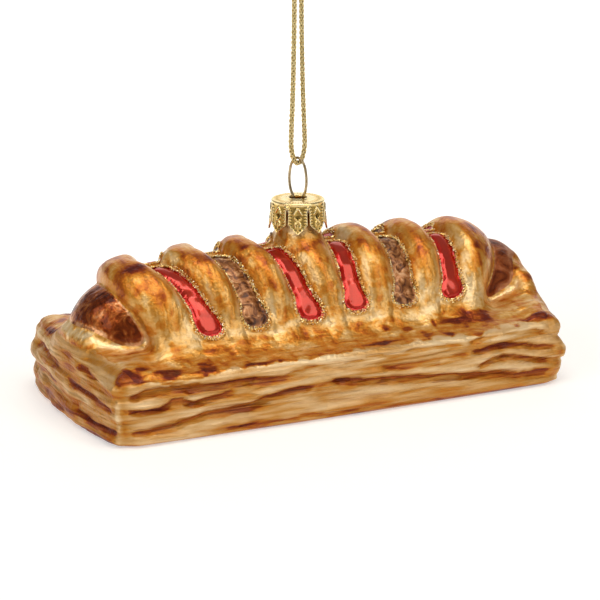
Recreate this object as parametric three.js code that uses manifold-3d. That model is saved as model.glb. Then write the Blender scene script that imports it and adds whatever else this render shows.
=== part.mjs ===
// A blown-glass hanging ornament in the shape of a frikandel roll: a sausage baked in a slab of
// puff pastry, with seven pastry strips over it and six gaps that show the filling. The glass body
// is one solid. A stamped metal cap sits on its neck, a bent wire loop stands in the cap's hole, and
// a doubled cord hangs the ornament from its knot.
// Millimetres, +Z up, +X along the roll. The origin is the middle of the flat underside.

import * as THREE from 'three';
import { mergeVertices } from 'three/addons/utils/BufferGeometryUtils.js';
import Module from 'manifold-3d';

const { clamp, lerp, smoothstep, degToRad } = THREE.MathUtils;
const quarterTurn = Math.PI / 2;

// Pastry slab
const bodyLength = 122; // over the layers of the slab
const bodyWidth = 60.6;
const lidEdgeHeight = 15.8; // the browned lid starts at this height
const lidRises = [1.9, 1]; // and this much higher at the left end and at the right one
const lidSlope = 0.2;
const lidRun = 12; // the lid climbs over this width, in from its edge
const lidEdgeRounding = 2.6;
const lidEdgeRoundingAtEnds = 7;
const lidEndsFrom = 44; // the lid starts to rise towards its ends here
const cornerRadius = 3;
const cornerRadiusUnder = 7; // the corners are rounder at the underside
const undersideRounding = 1.6;
const layerNotches = [6, 12.6]; // heights at which the sides are drawn in between the layers
const notchDepth = 1.2;
const notchHalfHeight = 1.3;
const endBulges = [
  { low: 3, high: 3.5 }, // how far the left end face stands out in its middle, low and under the lid
  { low: 0.8, high: 2.4 }, // and the right one
];
const frontBulge = 0.7;

// Sausage
const sausageEnds = [-48.1, 53.5]; // middles of its round ends
const sausageHeights = [19.8, 20.8]; // their heights
const sausageRadii = [12.8, 11]; // and their radii
const sausageReach = 63.2; // the right end is flattened here, inside the pastry
const sausageCrease = 0.6; // rounding between the sausage and the pastry

// Pastry strips over the sausage
const archAxis = 20; // height of the line that the strips bend round
const crownRadius = 20.2; // of the strips, at the crown of the middle one
const crownFall = 1.5; // the end strips are this much lower
const footRadius = 18.6;
const crownRelief = 3.8; // strips over gaps, at the crown
const footRelief = 0.6; // and at the foot
const archSpan = [0, 1.2]; // the strips reach their full height between these angles up the arch
const reliefSpan = [0.05, 0.7]; // and their full relief between these
const stripSection = { fullness: 3, flatness: 0.7 }; // powers that shape a strip's rounded top
// Middle lines of the gaps: at the foot, halfway up the arch and over the crown
const gapFeet = [-31.7, -19.6, -4.8, 7.5, 20.3, 33.7];
const gapMiddles = [-35, -20.9, -6.6, 8.2, 22.9, 37];
const gapCrowns = [-40.6, -24, -9.6, 8.8, 22.8, 37.6];
const gapHalfWidth = 2.9;
const gapFootHalfWidth = 3.7; // the gaps end in a wider round foot
const gapFootAngles = [15, 27].map(degToRad); // and narrow between these angles up the arch
const stripHalfWidth = 5.2; // from a strip's middle line to its rounded side, on a wide strip
// Outer faces of the first and the last strip, from the middle of the roll to where they meet the
// sausage. A face leans inwards by its lean for each millimetre out from there.
const stripEnds = [
  { side: -1, atFoot: 46, atCrown: 52.6, lean: 0, rounding: 5.5 },
  { side: 1, atFoot: 46.8, atCrown: 53.6, lean: 0.6, rounding: 5 },
];
const lidReach = 8; // how softly the lid runs up to the strips
const lidReachAtEnds = 3; // and round the sausage's ends
const lidReachSpan = [42, 50]; // it changes between these distances from the middle of the roll

// Pastry drawn up round the sausage's ends
const sleeveInset = 1.2; // it starts this far under the sausage's skin
const collars = [
  { at: [-57.6, 0, 17.4], radii: [5, 10.5, 5.4], squareness: 2.5 },
  { at: [60.5, 0, 17.6], radii: [3.3, 13, 8.5], squareness: 3 },
  { at: [57.1, 0, 12], radii: [4.8, 23, 8], squareness: 3.5 },
];
const collarReach = 3;

// Neck of the glass under the cap
const neckRadius = 5.4;
const neckTop = 45;
const neckFlare = 4;

// Raised glitter lines round the gaps
const glitterRadius = 0.6;
const glitterFootAngles = [2.5, 4.6, 4.2, 6.6, 6.6, 6.2].map(degToRad); // one for each gap
const glitterTopAngle = degToRad(84);
const glitterBackShift = 0.6; // the back gaps are pressed this much to the right

// Cap
const capTop = 48.2;
const capRadius = 6.75;
const capSpread = 0.6; // the petals stand out by this at their tips
const capWall = 0.4;
const capEdge = 0.5; // bevel round the disc
const petals = 8;
const capTurn = degToRad(-26); // a petal faces the front left
const petalTip = 40.4;
const petalShoulder = 42.8; // where a petal starts to narrow
const slotTop = 46.5;
const slotWidth = 0.45;
const holeRadius = 2.25;
const lipHeight = 0.35;
const lipWidth = 0.55;

// Wire loop
const wireRadius = 0.34;
const wireGap = 0.35; // between the wire and the cap
const loopTurn = degToRad(-65); // of the loop's plane from the roll's length
const loopHalfWidth = 2.75;
const loopTop = 58.5; // middle of the wire
const loopWidest = 53.2;
const legSpread = 4.2; // the legs spring outwards under the cap's disc
const legBend = { out: 0.9, drop: 0.2 }; // where a leg turns outwards, under the hole's edge
const legDrop = 0.3; // the leg's end is this much lower than the cap's underside allows
// Half of the loop above the cap, upwards: share of its half width, and height
const loopRoute = [
  [0.88, capTop + 2.2],
  [1, loopWidest],
  [0.82, loopTop - 2.2],
  [0.45, loopTop - 0.55],
];

// Cord
const cordRadius = 0.7;
const cordBottom = 57.2; // middle of the cord, where it bends under the wire
const cordSpread = 1.85; // of each strand from the middle, just above the wire
const cordAtKnot = 0.95;
// Half of the bend under the wire: distance from the middle, and height over the lowest point
const cordBend = [
  [0.16, 0],
  [0.5, 0.04],
  [0.95, 0.5],
  [1.3, 1.4],
  [cordSpread - 0.1, 3.4],
  [cordSpread, 6.5],
];
// Above the bend the strands close up: share of the way in to the knot, and height
const cordClosing = [
  [0.55, 76],
  [0.9, 90],
];
const knotHeight = 101.5;
const knotRadius = 1.9;
const knotGap = 0.3; // between a strand's end and the knot
// One of the knot's two cut tails: outwards, sideways and upwards from the knot's middle
const tailRoute = [
  [0.5, 0, 0],
  [1.1, 0, 3.5],
  [2.4, 0.6, 7],
];

const halfLength = bodyLength / 2;
const halfWidth = bodyWidth / 2;

const smoothMin = (a, b, reach) =>
  Math.min(a, b) - Math.max(reach - Math.abs(a - b), 0) ** 2 / (4 * reach);
const smoothMax = (a, b, reach) => -smoothMin(-a, -b, reach);

// The body's surface is where a function of the point is zero. It is negative inside, and about as
// large as the distance to the surface.

// How far the layered sides are drawn in at a height.
function drawnIn(z) {
  let depth = undersideRounding * clamp(1 - z / undersideRounding, 0, 1) ** 2;
  for (const notch of layerNotches) {
    depth += notchDepth * Math.exp(-(((z - notch) / notchHalfHeight) ** 2));
  }
  return depth;
}

function slab(x, y, z) {
  const { low, high } = endBulges[x < 0 ? 0 : 1];
  const bulge = lerp(low, high, clamp(z / lidEdgeHeight, 0, 1));
  const pastX = Math.abs(x) - halfLength - bulge * Math.max(0, 1 - (y / halfWidth) ** 2);
  const pastY = Math.abs(y) - halfWidth - frontBulge * Math.max(0, 1 - (x / halfLength) ** 2);
  const radius = lerp(cornerRadiusUnder, cornerRadius, smoothstep(z, 0, layerNotches[0]));
  const cornerX = pastX + radius;
  const cornerY = pastY + radius;
  const outline =
    Math.hypot(Math.max(cornerX, 0), Math.max(cornerY, 0)) +
    Math.min(Math.max(cornerX, cornerY), 0) -
    radius;
  const towardsEnd = smoothstep(Math.abs(x), lidEndsFrom, halfLength);
  const rise = lidRises[x < 0 ? 0 : 1] * towardsEnd;
  const lid = lidEdgeHeight + rise + lidSlope * clamp(-outline, 0, lidRun);
  const rounding = lerp(lidEdgeRounding, lidEdgeRoundingAtEnds, towardsEnd);
  return smoothMax(outline + drawnIn(z), z - lid, rounding);
}

function sausage(x, y, z) {
  const nearest = clamp(x, ...sausageEnds);
  const share = (nearest - sausageEnds[0]) / (sausageEnds[1] - sausageEnds[0]);
  const up = z - lerp(...sausageHeights, share);
  const round = Math.hypot(x - nearest, y, up) - lerp(...sausageRadii, share);
  return smoothMax(round, x - sausageReach, 1);
}

// A smooth line through three places along the roll: at the foot of the arch (share 0), halfway
// up (share 0.5) and at the crown (share 1).
function alongArch(foot, middle, crown, share) {
  const bend = 2 * (foot - 2 * middle + crown);
  return foot + (crown - foot - bend) * share + bend * share ** 2;
}

// Where a gap's middle line is, along the roll, at an angle up round the arch.
const gapMiddle = (gap, angle) =>
  alongArch(gapFeet[gap], gapMiddles[gap], gapCrowns[gap], angle / quarterTurn);
const gapHalf = (angle) =>
  lerp(gapFootHalfWidth, gapHalfWidth, smoothstep(angle, ...gapFootAngles));

// From 0 on a gap's floor to 1 on the middle line of a strip.
function acrossStrip(x, angle) {
  let left = -Infinity;
  let right = Infinity;
  for (let gap = 0; gap < gapFeet.length; gap++) {
    const middle = gapMiddle(gap, angle);
    if (middle <= x) left = middle;
    else right = Math.min(right, middle);
  }
  const gapSide = gapHalf(angle);
  const half = Math.min((right - left) / 2 - gapSide, stripHalfWidth);
  return clamp((Math.min(x - left, right - x) - gapSide) / half, 0, 1);
}

function strips(x, y, z) {
  const angle = Math.max(0, Math.atan2(z - archAxis, Math.abs(y)));
  const crown = crownRadius - crownFall * (x / gapCrowns[0]) ** 2;
  const outer = lerp(footRadius, crown, smoothstep(angle, ...archSpan));
  const relief = lerp(footRelief, crownRelief, smoothstep(angle, ...reliefSpan));
  const { fullness, flatness } = stripSection;
  const rounded = (1 - (1 - acrossStrip(x, angle)) ** fullness) ** flatness;
  const fromAxis = Math.hypot(y, z - archAxis);
  const face = fromAxis - outer + relief * (1 - rounded);
  const { side, atFoot, atCrown, lean, rounding } = stripEnds[x < 0 ? 0 : 1];
  const past = side * x - lerp(atFoot, atCrown, Math.sin(angle));
  const beyond = (past + lean * (fromAxis - sausageRadii[0])) / Math.hypot(1, lean);
  return smoothMax(face, beyond, rounding);
}

function collar(x, y, z, { at, radii, squareness }) {
  let sum = 0;
  [x, y, z].forEach((value, i) => (sum += Math.abs((value - at[i]) / radii[i]) ** squareness));
  return (sum ** (1 / squareness) - 1) * Math.min(...radii);
}

const neck = (x, y, z) => smoothMax(Math.hypot(x, y) - neckRadius, z - neckTop, 1);

function body(x, y, z) {
  const over = Math.min(strips(x, y, z), sausage(x, y, z) + sleeveInset);
  const reach = lerp(lidReach, lidReachAtEnds, smoothstep(Math.abs(x), ...lidReachSpan));
  let pastry = smoothMin(slab(x, y, z), over, reach);
  for (const one of collars) pastry = smoothMin(pastry, collar(x, y, z, one), collarReach);
  pastry = smoothMin(pastry, neck(x, y, z), neckFlare);
  return smoothMin(pastry, sausage(x, y, z), sausageCrease);
}

// The first point of the surface on a line of sight into the body.
function surfacePoint(from, direction) {
  const step = 0.3;
  const shortest = 0.05;
  const at = (distance) => from.clone().addScaledVector(direction, distance);
  const value = (distance) => body(...at(distance));
  let near = 0;
  let far = 0;
  while (value(far) > 0) {
    near = far;
    far += Math.max(shortest, step * value(far));
  }
  for (let round = 0; round < 24; round++) {
    const middle = (near + far) / 2;
    if (value(middle) > 0) near = middle;
    else far = middle;
  }
  return at(far);
}

// The body is wrapped in a grid with six sides, like a box, whose knots are seen from outside.
// Columns run up over the arch along the gaps, and close up at their edges.
const endSection = 57; // the end grids start here
const farOut = 60; // lines of sight start this far from the point that they aim at
const faceStep = 0.35; // columns stand this far to both sides of an end strip's outer face
const underGround = 3; // the grid's lower edge is this far under the ground and inside the sides
const rowsOver = 36;
const rowsUp = 8;
const aroundFace = (face) => [face - faceStep, face + faceStep];
const [firstEnd, lastEnd] = stripEnds;
const columnLines = (gaps, firstFace, lastFace) => [
  -endSection,
  ...aroundFace(-firstFace),
  ...gaps,
  ...aroundFace(lastFace),
  endSection,
];
const halfwayUp = ({ atFoot, atCrown }) => lerp(atFoot, atCrown, Math.SQRT1_2);
const crownLines = columnLines(gapCrowns, firstEnd.atCrown, lastEnd.atCrown);
const middleLines = columnLines(gapMiddles, halfwayUp(firstEnd), halfwayUp(lastEnd));
const footLines = columnLines(gapFeet, firstEnd.atFoot, lastEnd.atFoot);
// How many columns there are from each line to the next.
const columnCounts = [3, 1, 6, 6, 6, 6, 6, 6, 6, 1, 3];

function columnPlaces() {
  const places = [];
  columnCounts.forEach((count, line) => {
    for (let i = 0; i < count; i++) places.push(line + i / count);
  });
  places.push(columnCounts.length);
  return places;
}
const columns = columnPlaces();

const between = (list, place) => {
  const first = Math.min(Math.floor(place), list.length - 2);
  return lerp(list[first], list[first + 1], place - first);
};

// Lines of sight round half a section, from the crown over the lid's edge down to the underside:
// the point that each aims at, across and up, and its lean from upright.
const overLines = { y: [0, 5, 9, 14, 20], z: [20, 20, 17, 11, 8], lean: [0, 30, 60, 50, 45] };
const footShare = 0.6; // of the way from the crown to the lid's edge, where the arch has its foot
const sideLines = { y: [20, 15, 15, 20], z: [8, 7, 5, 1], lean: [45, 80, 95, 110] };

// The point of the section at one column, with `over` and `up` from -1 to 1 on the grid's rim.
function sectionPoint(column, over, up) {
  const onTop = up === 1 && Math.abs(over) < 1;
  const lines = onTop ? overLines : sideLines;
  const share = onTop ? Math.abs(over) : (1 - up) / 2;
  const place = share * (lines.y.length - 1);
  const side = Math.sign(over);
  const lean = degToRad(between(lines.lean, place));
  const upArch = onTop ? 1 - Math.min(1, share / footShare) : 0;
  const lines3 = [footLines, middleLines, crownLines].map((list) => between(list, column));
  const x = alongArch(...lines3, upArch);
  const out = new THREE.Vector3(0, side * Math.sin(lean), Math.cos(lean));
  const aim = new THREE.Vector3(x, side * between(lines.y, place), between(lines.z, place));
  return surfacePoint(aim.addScaledVector(out, farOut), out.negate());
}

function gridPoint(i, j, k) {
  const over = (2 * j) / rowsOver - 1;
  const up = (2 * k) / rowsUp - 1;
  const rim = (s, t) => {
    if (t > -1) return sectionPoint(columns[i], s, t);
    return new THREE.Vector3(between(footLines, columns[i]), s * (halfWidth - underGround), -underGround);
  };
  if (Math.abs(over) === 1 || Math.abs(up) === 1) return rim(over, up);
  // Inside an end grid, the lines of sight are spread between the rim's four sides.
  const [s, t] = [j / rowsOver, k / rowsUp];
  const from = rim(over, -1).multiplyScalar(1 - t).addScaledVector(rim(over, 1), t);
  from.addScaledVector(rim(-1, up), 1 - s).addScaledVector(rim(1, up), s);
  from.addScaledVector(rim(-1, -1), (s - 1) * (1 - t)).addScaledVector(rim(1, -1), -s * (1 - t));
  from.addScaledVector(rim(-1, 1), (s - 1) * t).addScaledVector(rim(1, 1), -s * t);
  const side = Math.sign(from.x);
  from.x = side * (halfLength + farOut);
  return surfacePoint(from, new THREE.Vector3(-side, 0, 0));
}

function bodyGrid() {
  const last = [columns.length - 1, rowsOver, rowsUp];
  const numbers = new Map();
  const positions = [];
  const triangles = [];
  const knot = (i, j, k) => {
    const key = `${i},${j},${k}`;
    if (!numbers.has(key)) {
      numbers.set(key, numbers.size);
      positions.push(...gridPoint(i, j, k));
    }
    return numbers.get(key);
  };
  const quad = (a, b, c, d) => triangles.push(a, b, c, a, c, d);
  // Each pair of opposite sides: the axis they are square to, and the two axes that they run along.
  for (const [axis, along, across] of [[0, 1, 2], [1, 2, 0], [2, 0, 1]]) {
    for (const end of [0, last[axis]]) {
      for (let p = 0; p < last[along]; p++) {
        for (let q = 0; q < last[across]; q++) {
          const corners = [[p, q], [p + 1, q], [p + 1, q + 1], [p, q + 1]].map(([s, t]) => {
            const at = [];
            at[axis] = end;
            at[along] = s;
            at[across] = t;
            return knot(...at);
          });
          quad(...(end ? corners : corners.reverse()));
        }
      }
    }
  }
  const geometry = new THREE.BufferGeometry();
  geometry.setAttribute('position', new THREE.Float32BufferAttribute(positions, 3));
  geometry.setIndex(triangles);
  return geometry;
}

// A closed raised line round one gap, on the front (side -1) or the back (side 1).
function glitterLine(gap, side) {
  const steps = 20;
  const footAngle = glitterFootAngles[gap];
  const points = [];
  for (let i = 0; i < steps; i++) {
    // The angle swings from the foot to the top and back, and the outline is round at both.
    const turn = (2 * Math.PI * i) / steps;
    const angle = lerp(footAngle, glitterTopAngle, (1 - Math.cos(turn)) / 2);
    const fromEnd = archAxis * Math.min(angle - footAngle, glitterTopAngle - angle);
    const fullness = Math.sqrt(1 - (1 - Math.min(1, fromEnd / gapHalfWidth)) ** 2);
    const across = Math.sign(Math.PI - turn) * gapHalf(angle) * fullness;
    const out = new THREE.Vector3(0, side * Math.cos(angle), Math.sin(angle));
    const shift = side > 0 ? glitterBackShift : 0;
    const from = new THREE.Vector3(gapMiddle(gap, angle) + across + shift, 0, archAxis);
    points.push(surfacePoint(from.addScaledVector(out, farOut), out.clone().negate()));
  }
  const path = new THREE.CatmullRomCurve3(points, true);
  return new THREE.TubeGeometry(path, steps, glitterRadius, 4, true);
}

const wasm = await Module();
wasm.setup();

function solidOf(geometry) {
  const bare = geometry.clone();
  bare.deleteAttribute('normal');
  bare.deleteAttribute('uv');
  const merged = mergeVertices(bare);
  const vertProperties = new Float32Array(merged.attributes.position.array);
  const triVerts = new Uint32Array(merged.index.array);
  return new wasm.Manifold(new wasm.Mesh({ numProp: 3, vertProperties, triVerts }));
}

function geometryOf(solid) {
  const { vertProperties, triVerts } = solid.getMesh();
  const geometry = new THREE.BufferGeometry();
  geometry.setAttribute('position', new THREE.BufferAttribute(vertProperties, 3));
  geometry.setIndex(new THREE.BufferAttribute(triVerts, 1));
  return geometry;
}

function glassBody() {
  const aboveGround = new THREE.BoxGeometry(200, 200, 100).translate(0, 0, 50);
  let solid = solidOf(bodyGrid()).intersect(solidOf(aboveGround));
  for (let gap = 0; gap < gapFeet.length; gap++) {
    for (const side of [-1, 1]) solid = solid.add(solidOf(glitterLine(gap, side)));
  }
  return geometryOf(solid);
}

// A thin cup, upside down, whose skirt is slit into petals.
function cap() {
  const skirt = capRadius + capSpread;
  const profile = [
    [holeRadius, capTop - capWall],
    [holeRadius, capTop + lipHeight],
    [holeRadius + lipWidth, capTop + lipHeight],
    [holeRadius + 2 * lipWidth, capTop],
    [capRadius - capEdge, capTop],
    [capRadius, capTop - capEdge],
    [skirt, petalTip],
    [skirt - capWall, petalTip],
    [capRadius - capWall, capTop - capWall],
  ].map(([r, z]) => new THREE.Vector2(r, z));
  profile.push(profile[0].clone());
  const shell = new THREE.LatheGeometry(profile.reverse(), 5 * petals).rotateX(quarterTurn);
  let solid = solidOf(shell.rotateZ(capTurn));
  const halfPetal = (Math.PI * skirt) / petals;
  const underTip = petalTip - 0.1;
  const cutFrom = 4; // each slit is cut from this radius outwards
  const cutDepth = 5;
  const notch = new THREE.Shape([
    new THREE.Vector2(-halfPetal, underTip),
    new THREE.Vector2(halfPetal, underTip),
    new THREE.Vector2(slotWidth / 2, petalShoulder),
    new THREE.Vector2(slotWidth / 2, slotTop),
    new THREE.Vector2(-slotWidth / 2, slotTop),
    new THREE.Vector2(-slotWidth / 2, petalShoulder),
  ]);
  for (let i = 0; i < petals; i++) {
    const turn = capTurn + ((i + 0.5) * 2 * Math.PI) / petals;
    const cutter = new THREE.ExtrudeGeometry(notch, { depth: cutDepth, bevelEnabled: false });
    cutter.rotateX(quarterTurn).translate(0, -cutFrom, 0).rotateZ(turn);
    solid = solid.subtract(solidOf(cutter));
  }
  return geometryOf(solid);
}

// A round section swept along a smooth line through points.
function tube(points, radius, sides, steps) {
  const section = new THREE.Shape();
  for (let i = 0; i < sides; i++) {
    const turn = (2 * Math.PI * i) / sides;
    section[i ? 'lineTo' : 'moveTo'](radius * Math.cos(turn), radius * Math.sin(turn));
  }
  const extrudePath = new THREE.CatmullRomCurve3(points.map((point) => new THREE.Vector3(...point)));
  return new THREE.ExtrudeGeometry(section, { extrudePath, steps, bevelEnabled: false });
}

function hangerWire() {
  const legFoot = capTop - capWall - wireRadius - wireGap;
  const inHole = holeRadius - wireRadius - wireGap;
  const half = [
    [legSpread, 0, legFoot - legDrop],
    [inHole + legBend.out, 0, legFoot - legBend.drop],
    [inHole - 0.1, 0, capTop],
    ...loopRoute.map(([share, height]) => [loopHalfWidth * share, 0, height]),
  ];
  const other = half.map(([x, y, z]) => [-x, y, z]).reverse();
  return tube([...half, [0, 0, loopTop], ...other], wireRadius, 6, 40).rotateZ(loopTurn);
}

// One strand of the doubled cord, from under the wire up to the knot.
function cordStrand(side) {
  const route = [
    ...cordBend.map(([out, up]) => [out, cordBottom + up]),
    ...cordClosing.map(([share, height]) => [lerp(cordSpread, cordAtKnot, share), height]),
    [cordAtKnot, knotHeight - knotRadius - knotGap],
  ];
  return tube(route.map(([x, z]) => [side * x, 0, z]), cordRadius, 8, 24);
}

// An overhand knot in the doubled cord, drawn tight, with the two cut tails above it.
function cordKnot() {
  const profile = [];
  const rings = 8;
  for (let i = 0; i <= rings; i++) {
    const turn = lerp(-quarterTurn, quarterTurn, i / rings);
    const r = i % rings === 0 ? 0 : knotRadius * Math.cos(turn);
    profile.push(new THREE.Vector2(r, knotRadius * Math.sin(turn)));
  }
  const ball = new THREE.LatheGeometry(profile, 12).rotateX(quarterTurn).translate(0, 0, knotHeight);
  let solid = solidOf(ball);
  for (const side of [-1, 1]) {
    const tail = tailRoute.map(([out, aside, up]) => [side * out, side * aside, knotHeight + up]);
    solid = solid.add(solidOf(tube(tail, cordRadius, 8, 6)));
  }
  return geometryOf(solid);
}

const bakedGlass = new THREE.MeshStandardMaterial({ color: 0xd39a4c, roughness: 0.3 });
const goldFoil = new THREE.MeshStandardMaterial({ color: 0xd9b45c, roughness: 0.25, metalness: 1 });
const paleGoldWire = new THREE.MeshStandardMaterial({ color: 0xcbb07a, roughness: 0.3, metalness: 1 });
const goldThread = new THREE.MeshStandardMaterial({ color: 0xc9a850, roughness: 0.5 });

const ornament = new THREE.Group();

function place(name, geometry, material) {
  const mesh = new THREE.Mesh(geometry, material);
  mesh.name = name;
  ornament.add(mesh);
}

place('glass_body', glassBody(), bakedGlass);
place('cap', cap(), goldFoil);
place('hanger_wire', hangerWire(), paleGoldWire);
place('cord_left', cordStrand(-1), goldThread);
place('cord_right', cordStrand(1), goldThread);
place('cord_knot', cordKnot(), goldThread);

export default ornament;
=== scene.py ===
import math

import bmesh
import bpy
import numpy as np
from mathutils import Matrix, Vector


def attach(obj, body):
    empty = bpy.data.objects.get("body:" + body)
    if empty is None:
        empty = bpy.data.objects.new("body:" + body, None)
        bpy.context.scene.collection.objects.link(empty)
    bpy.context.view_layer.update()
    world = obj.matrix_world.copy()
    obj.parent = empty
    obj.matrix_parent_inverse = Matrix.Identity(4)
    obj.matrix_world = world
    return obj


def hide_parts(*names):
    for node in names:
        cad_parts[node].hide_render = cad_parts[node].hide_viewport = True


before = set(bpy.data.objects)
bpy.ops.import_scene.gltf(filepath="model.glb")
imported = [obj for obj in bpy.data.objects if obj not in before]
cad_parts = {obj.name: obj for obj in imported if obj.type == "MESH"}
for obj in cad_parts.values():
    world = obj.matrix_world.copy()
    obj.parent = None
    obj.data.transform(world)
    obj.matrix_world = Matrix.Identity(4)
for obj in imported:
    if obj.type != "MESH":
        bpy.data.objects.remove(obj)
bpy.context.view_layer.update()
MM = 0.001

# Sizes below are in millimetres, in the frame of the CAD solids, unless a name says otherwise.

# Camera: turned to the roll's front left and a little above it
CAMERA_TURN = math.radians(-25.722)
CAMERA_RISE = math.radians(15.435)
CAMERA_DISTANCE = 587.53
CAMERA_TARGET = (0, 0, 25)
CAMERA_LENS = 139.4
CAMERA_SHIFT = (0.003523, -0.021133)

# Pastry slab
HALF_LENGTH, HALF_WIDTH = 61, 30.3
LID_EDGE_HEIGHT = 15.8
LID_RISES = (1.9, 1)  # the lid is this much higher at the left end and at the right one
LID_ENDS_FROM = 44
LID_SLOPE, LID_RUN = 0.2, 12
LID_ROUNDINGS = (2.6, 7)
CORNER_RADII = (7, 3)
UNDERSIDE_ROUNDING = 1.6
UNDERSIDE_EDGE = 0.2
LAYER_NOTCHES = (6, 12.6)
NOTCH_DEPTHS = (0.35, 0.8)
NOTCH_HALF_HEIGHT = 1.3
NOTCH_SPAN = (40, 58)  # the notches deepen between these distances from the roll's middle
END_BULGES = ((3, 3.5), (0.8, 2.4))
FRONT_BULGE = 0.7

# Sausage
SAUSAGE_HEIGHTS = (19.8, 20.8)
SAUSAGE_ENDS = (-48.1, 53.5)
SAUSAGE_RADII = (12.8, 11)
SAUSAGE_REACH, SAUSAGE_REACH_ROUNDING = 63.2, 1
SAUSAGE_CREASE = 0.6
DOMES_FROM = 44  # its round ends show beyond this distance from the roll's middle

# Pastry strips over the sausage, and the gaps between them
ARCH_AXIS = 20
CROWN_RADIUS, CROWN_FALL = 20.2, 1.5
FOOT_RADIUS = 18.6
CROWN_RELIEF, FOOT_RELIEF = 3.8, 0.6
ARCH_SPAN, RELIEF_SPAN = (0, 1.2), (0.05, 0.7)
STRIP_FULLNESS, STRIP_FLATNESS = 3, 0.7
GAP_FEET = (-31.7, -19.6, -4.8, 7.5, 20.3, 33.7)
GAP_MIDDLES = (-35, -20.9, -6.6, 8.2, 22.9, 37)
GAP_CROWNS = (-40.6, -24, -9.6, 8.8, 22.8, 37.6)
GAP_FILLINGS = ("red", "brown", "red", "red", "brown", "red")
GAP_HALF_WIDTH, GAP_FOOT_HALF_WIDTH = 2.9, 3.7
GAP_FOOT_ANGLES = (math.radians(15), math.radians(27))
GAP_STARTS = [math.radians(a) for a in (2.5, 4.6, 4.2, 6.6, 6.6, 6.2)]
GAP_TOP = math.radians(84)
BACK_SHIFT = 0.6
STRIP_HALF_WIDTH = 5.2
STRIP_ENDS = ((-1, 46, 52.6, 0, 5.5), (1, 46.8, 53.6, 0.6, 5))
LID_REACHES, LID_REACH_SPAN = (8, 3), (42, 50)

# Pastry drawn up round the sausage's ends
SLEEVE_INSET = 1.2
COLLARS = (
    ((-57.6, 0, 17.4), (5, 10.5, 5.4), 2.5),
    ((60.5, 0, 17.6), (3.3, 13, 8.5), 3),
    ((57.1, 0, 12), (4.8, 23, 8), 3.5),
)
COLLAR_REACH = 3
NECK_RADIUS, NECK_TOP, NECK_ROUNDING, NECK_FLARE = 5.4, 45, 1, 4

# Cap
CAP_TOP, CAP_RADIUS, CAP_SPREAD, CAP_WALL, CAP_EDGE = 48.2, 6.75, 0.6, 0.4, 0.5
PETALS = 8
CAP_TURN = math.radians(-26)
PETAL_TIP, PETAL_SHOULDER, TIP_HALF_WIDTH = 40.4, 42.8, 0.12
SLOT_TOP, SLOT_WIDTH = 46.5, 0.45
HOLE_RADIUS, LIP_HEIGHT, LIP_WIDTH = 2.25, 0.35, 0.55

# Wire loop
WIRE_RADIUS, WIRE_GAP = 0.34, 0.35
LOOP_TURN = math.radians(-65)
LOOP_HALF_WIDTH, LOOP_TOP, LOOP_WIDEST = 2.75, 58.5, 53.2
LEG_SPREAD, LEG_DROP = 4.2, 0.3

# Cord
CORD_DIAMETER = 1.4
CORD_BOTTOM, CORD_SPREAD, CORD_AT_KNOT = 57.2, 1.85, 0.95
KNOT_HEIGHT, KNOT_RADIUS, KNOT_GAP, TAIL_LENGTH = 101.5, 1.9, 0.3, 7


# Small helpers


def lerp(a, b, share):
    return a + (b - a) * share


def smoothstep(value, low, high):
    share = np.clip((value - low) / (high - low), 0, 1)
    return share * share * (3 - 2 * share)


def smooth_min(a, b, reach):
    return np.minimum(a, b) - np.maximum(reach - np.abs(a - b), 0) ** 2 / (4 * reach)


def smooth_max(a, b, reach):
    return -smooth_min(-a, -b, reach)


def bell(value, width):
    """1 where the value is 0, falling off smoothly on both sides of it."""
    return np.exp(-((value / width) ** 2))


def round_corner(past_one, past_other, radius):
    """Distance past two sides that meet in a rounded corner."""
    one, other = past_one + radius, past_other + radius
    beyond = np.hypot(np.maximum(one, 0), np.maximum(other, 0))
    return beyond + np.minimum(np.maximum(one, other), 0) - radius


def unit(vectors):
    return vectors / np.linalg.norm(vectors, axis=1)[:, None]


def lengths_along(points):
    """How far along a line each of its points is."""
    return np.concatenate([[0], np.cumsum(np.linalg.norm(np.diff(points, axis=0), axis=1))])


def linear(hex_colour):
    """An sRGB colour such as #c0ffee as linear red, green and blue."""
    parts = [int(hex_colour[i : i + 2], 16) / 255 for i in (1, 3, 5)]
    return [p / 12.92 if p <= 0.04045 else ((p + 0.055) / 1.055) ** 2.4 for p in parts]


LATTICE = 32


def noise(places, sizes, seed):
    """Smooth uneven lumps from -1 to 1: one size for each of the three coordinates, in mm."""
    table = np.random.default_rng(seed).uniform(-1, 1, (LATTICE,) * 3)
    corner, share = [], []
    for place, size in zip(places, sizes):
        cells = place / size
        whole = np.floor(cells)
        corner.append(whole.astype(int))
        inside = cells - whole
        share.append(inside * inside * (3 - 2 * inside))
    total = 0
    for i in (0, 1):
        for j in (0, 1):
            for k in (0, 1):
                weight = 1
                for axis, step in enumerate((i, j, k)):
                    weight = weight * (share[axis] if step else 1 - share[axis])
                at = tuple((corner[a] + s) % LATTICE for a, s in enumerate((i, j, k)))
                total = total + weight * table[at]
    return total


def lumps(places, kinds):
    """Several noises added up. Each kind is a height, the sizes in mm and a seed."""
    return sum(height * noise(places, sizes, seed) for height, sizes, seed in kinds)


def in_scene(name, data):
    made = bpy.data.objects.new(name, data)
    bpy.context.scene.collection.objects.link(made)
    return made


def mesh_piece(name, points_mm, faces, smooth=True):
    mesh = bpy.data.meshes.new(name)
    mesh.from_pydata([[v * MM for v in p] for p in points_mm], [], faces)
    if smooth:
        mesh.shade_smooth()
    else:
        mesh.shade_flat()
    return in_scene(name, mesh)


def shown(piece, *materials):
    """Gives a new piece its materials and puts it on the one body."""
    for one in materials:
        piece.data.materials.append(one)
    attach(piece, "root")
    return piece


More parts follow.
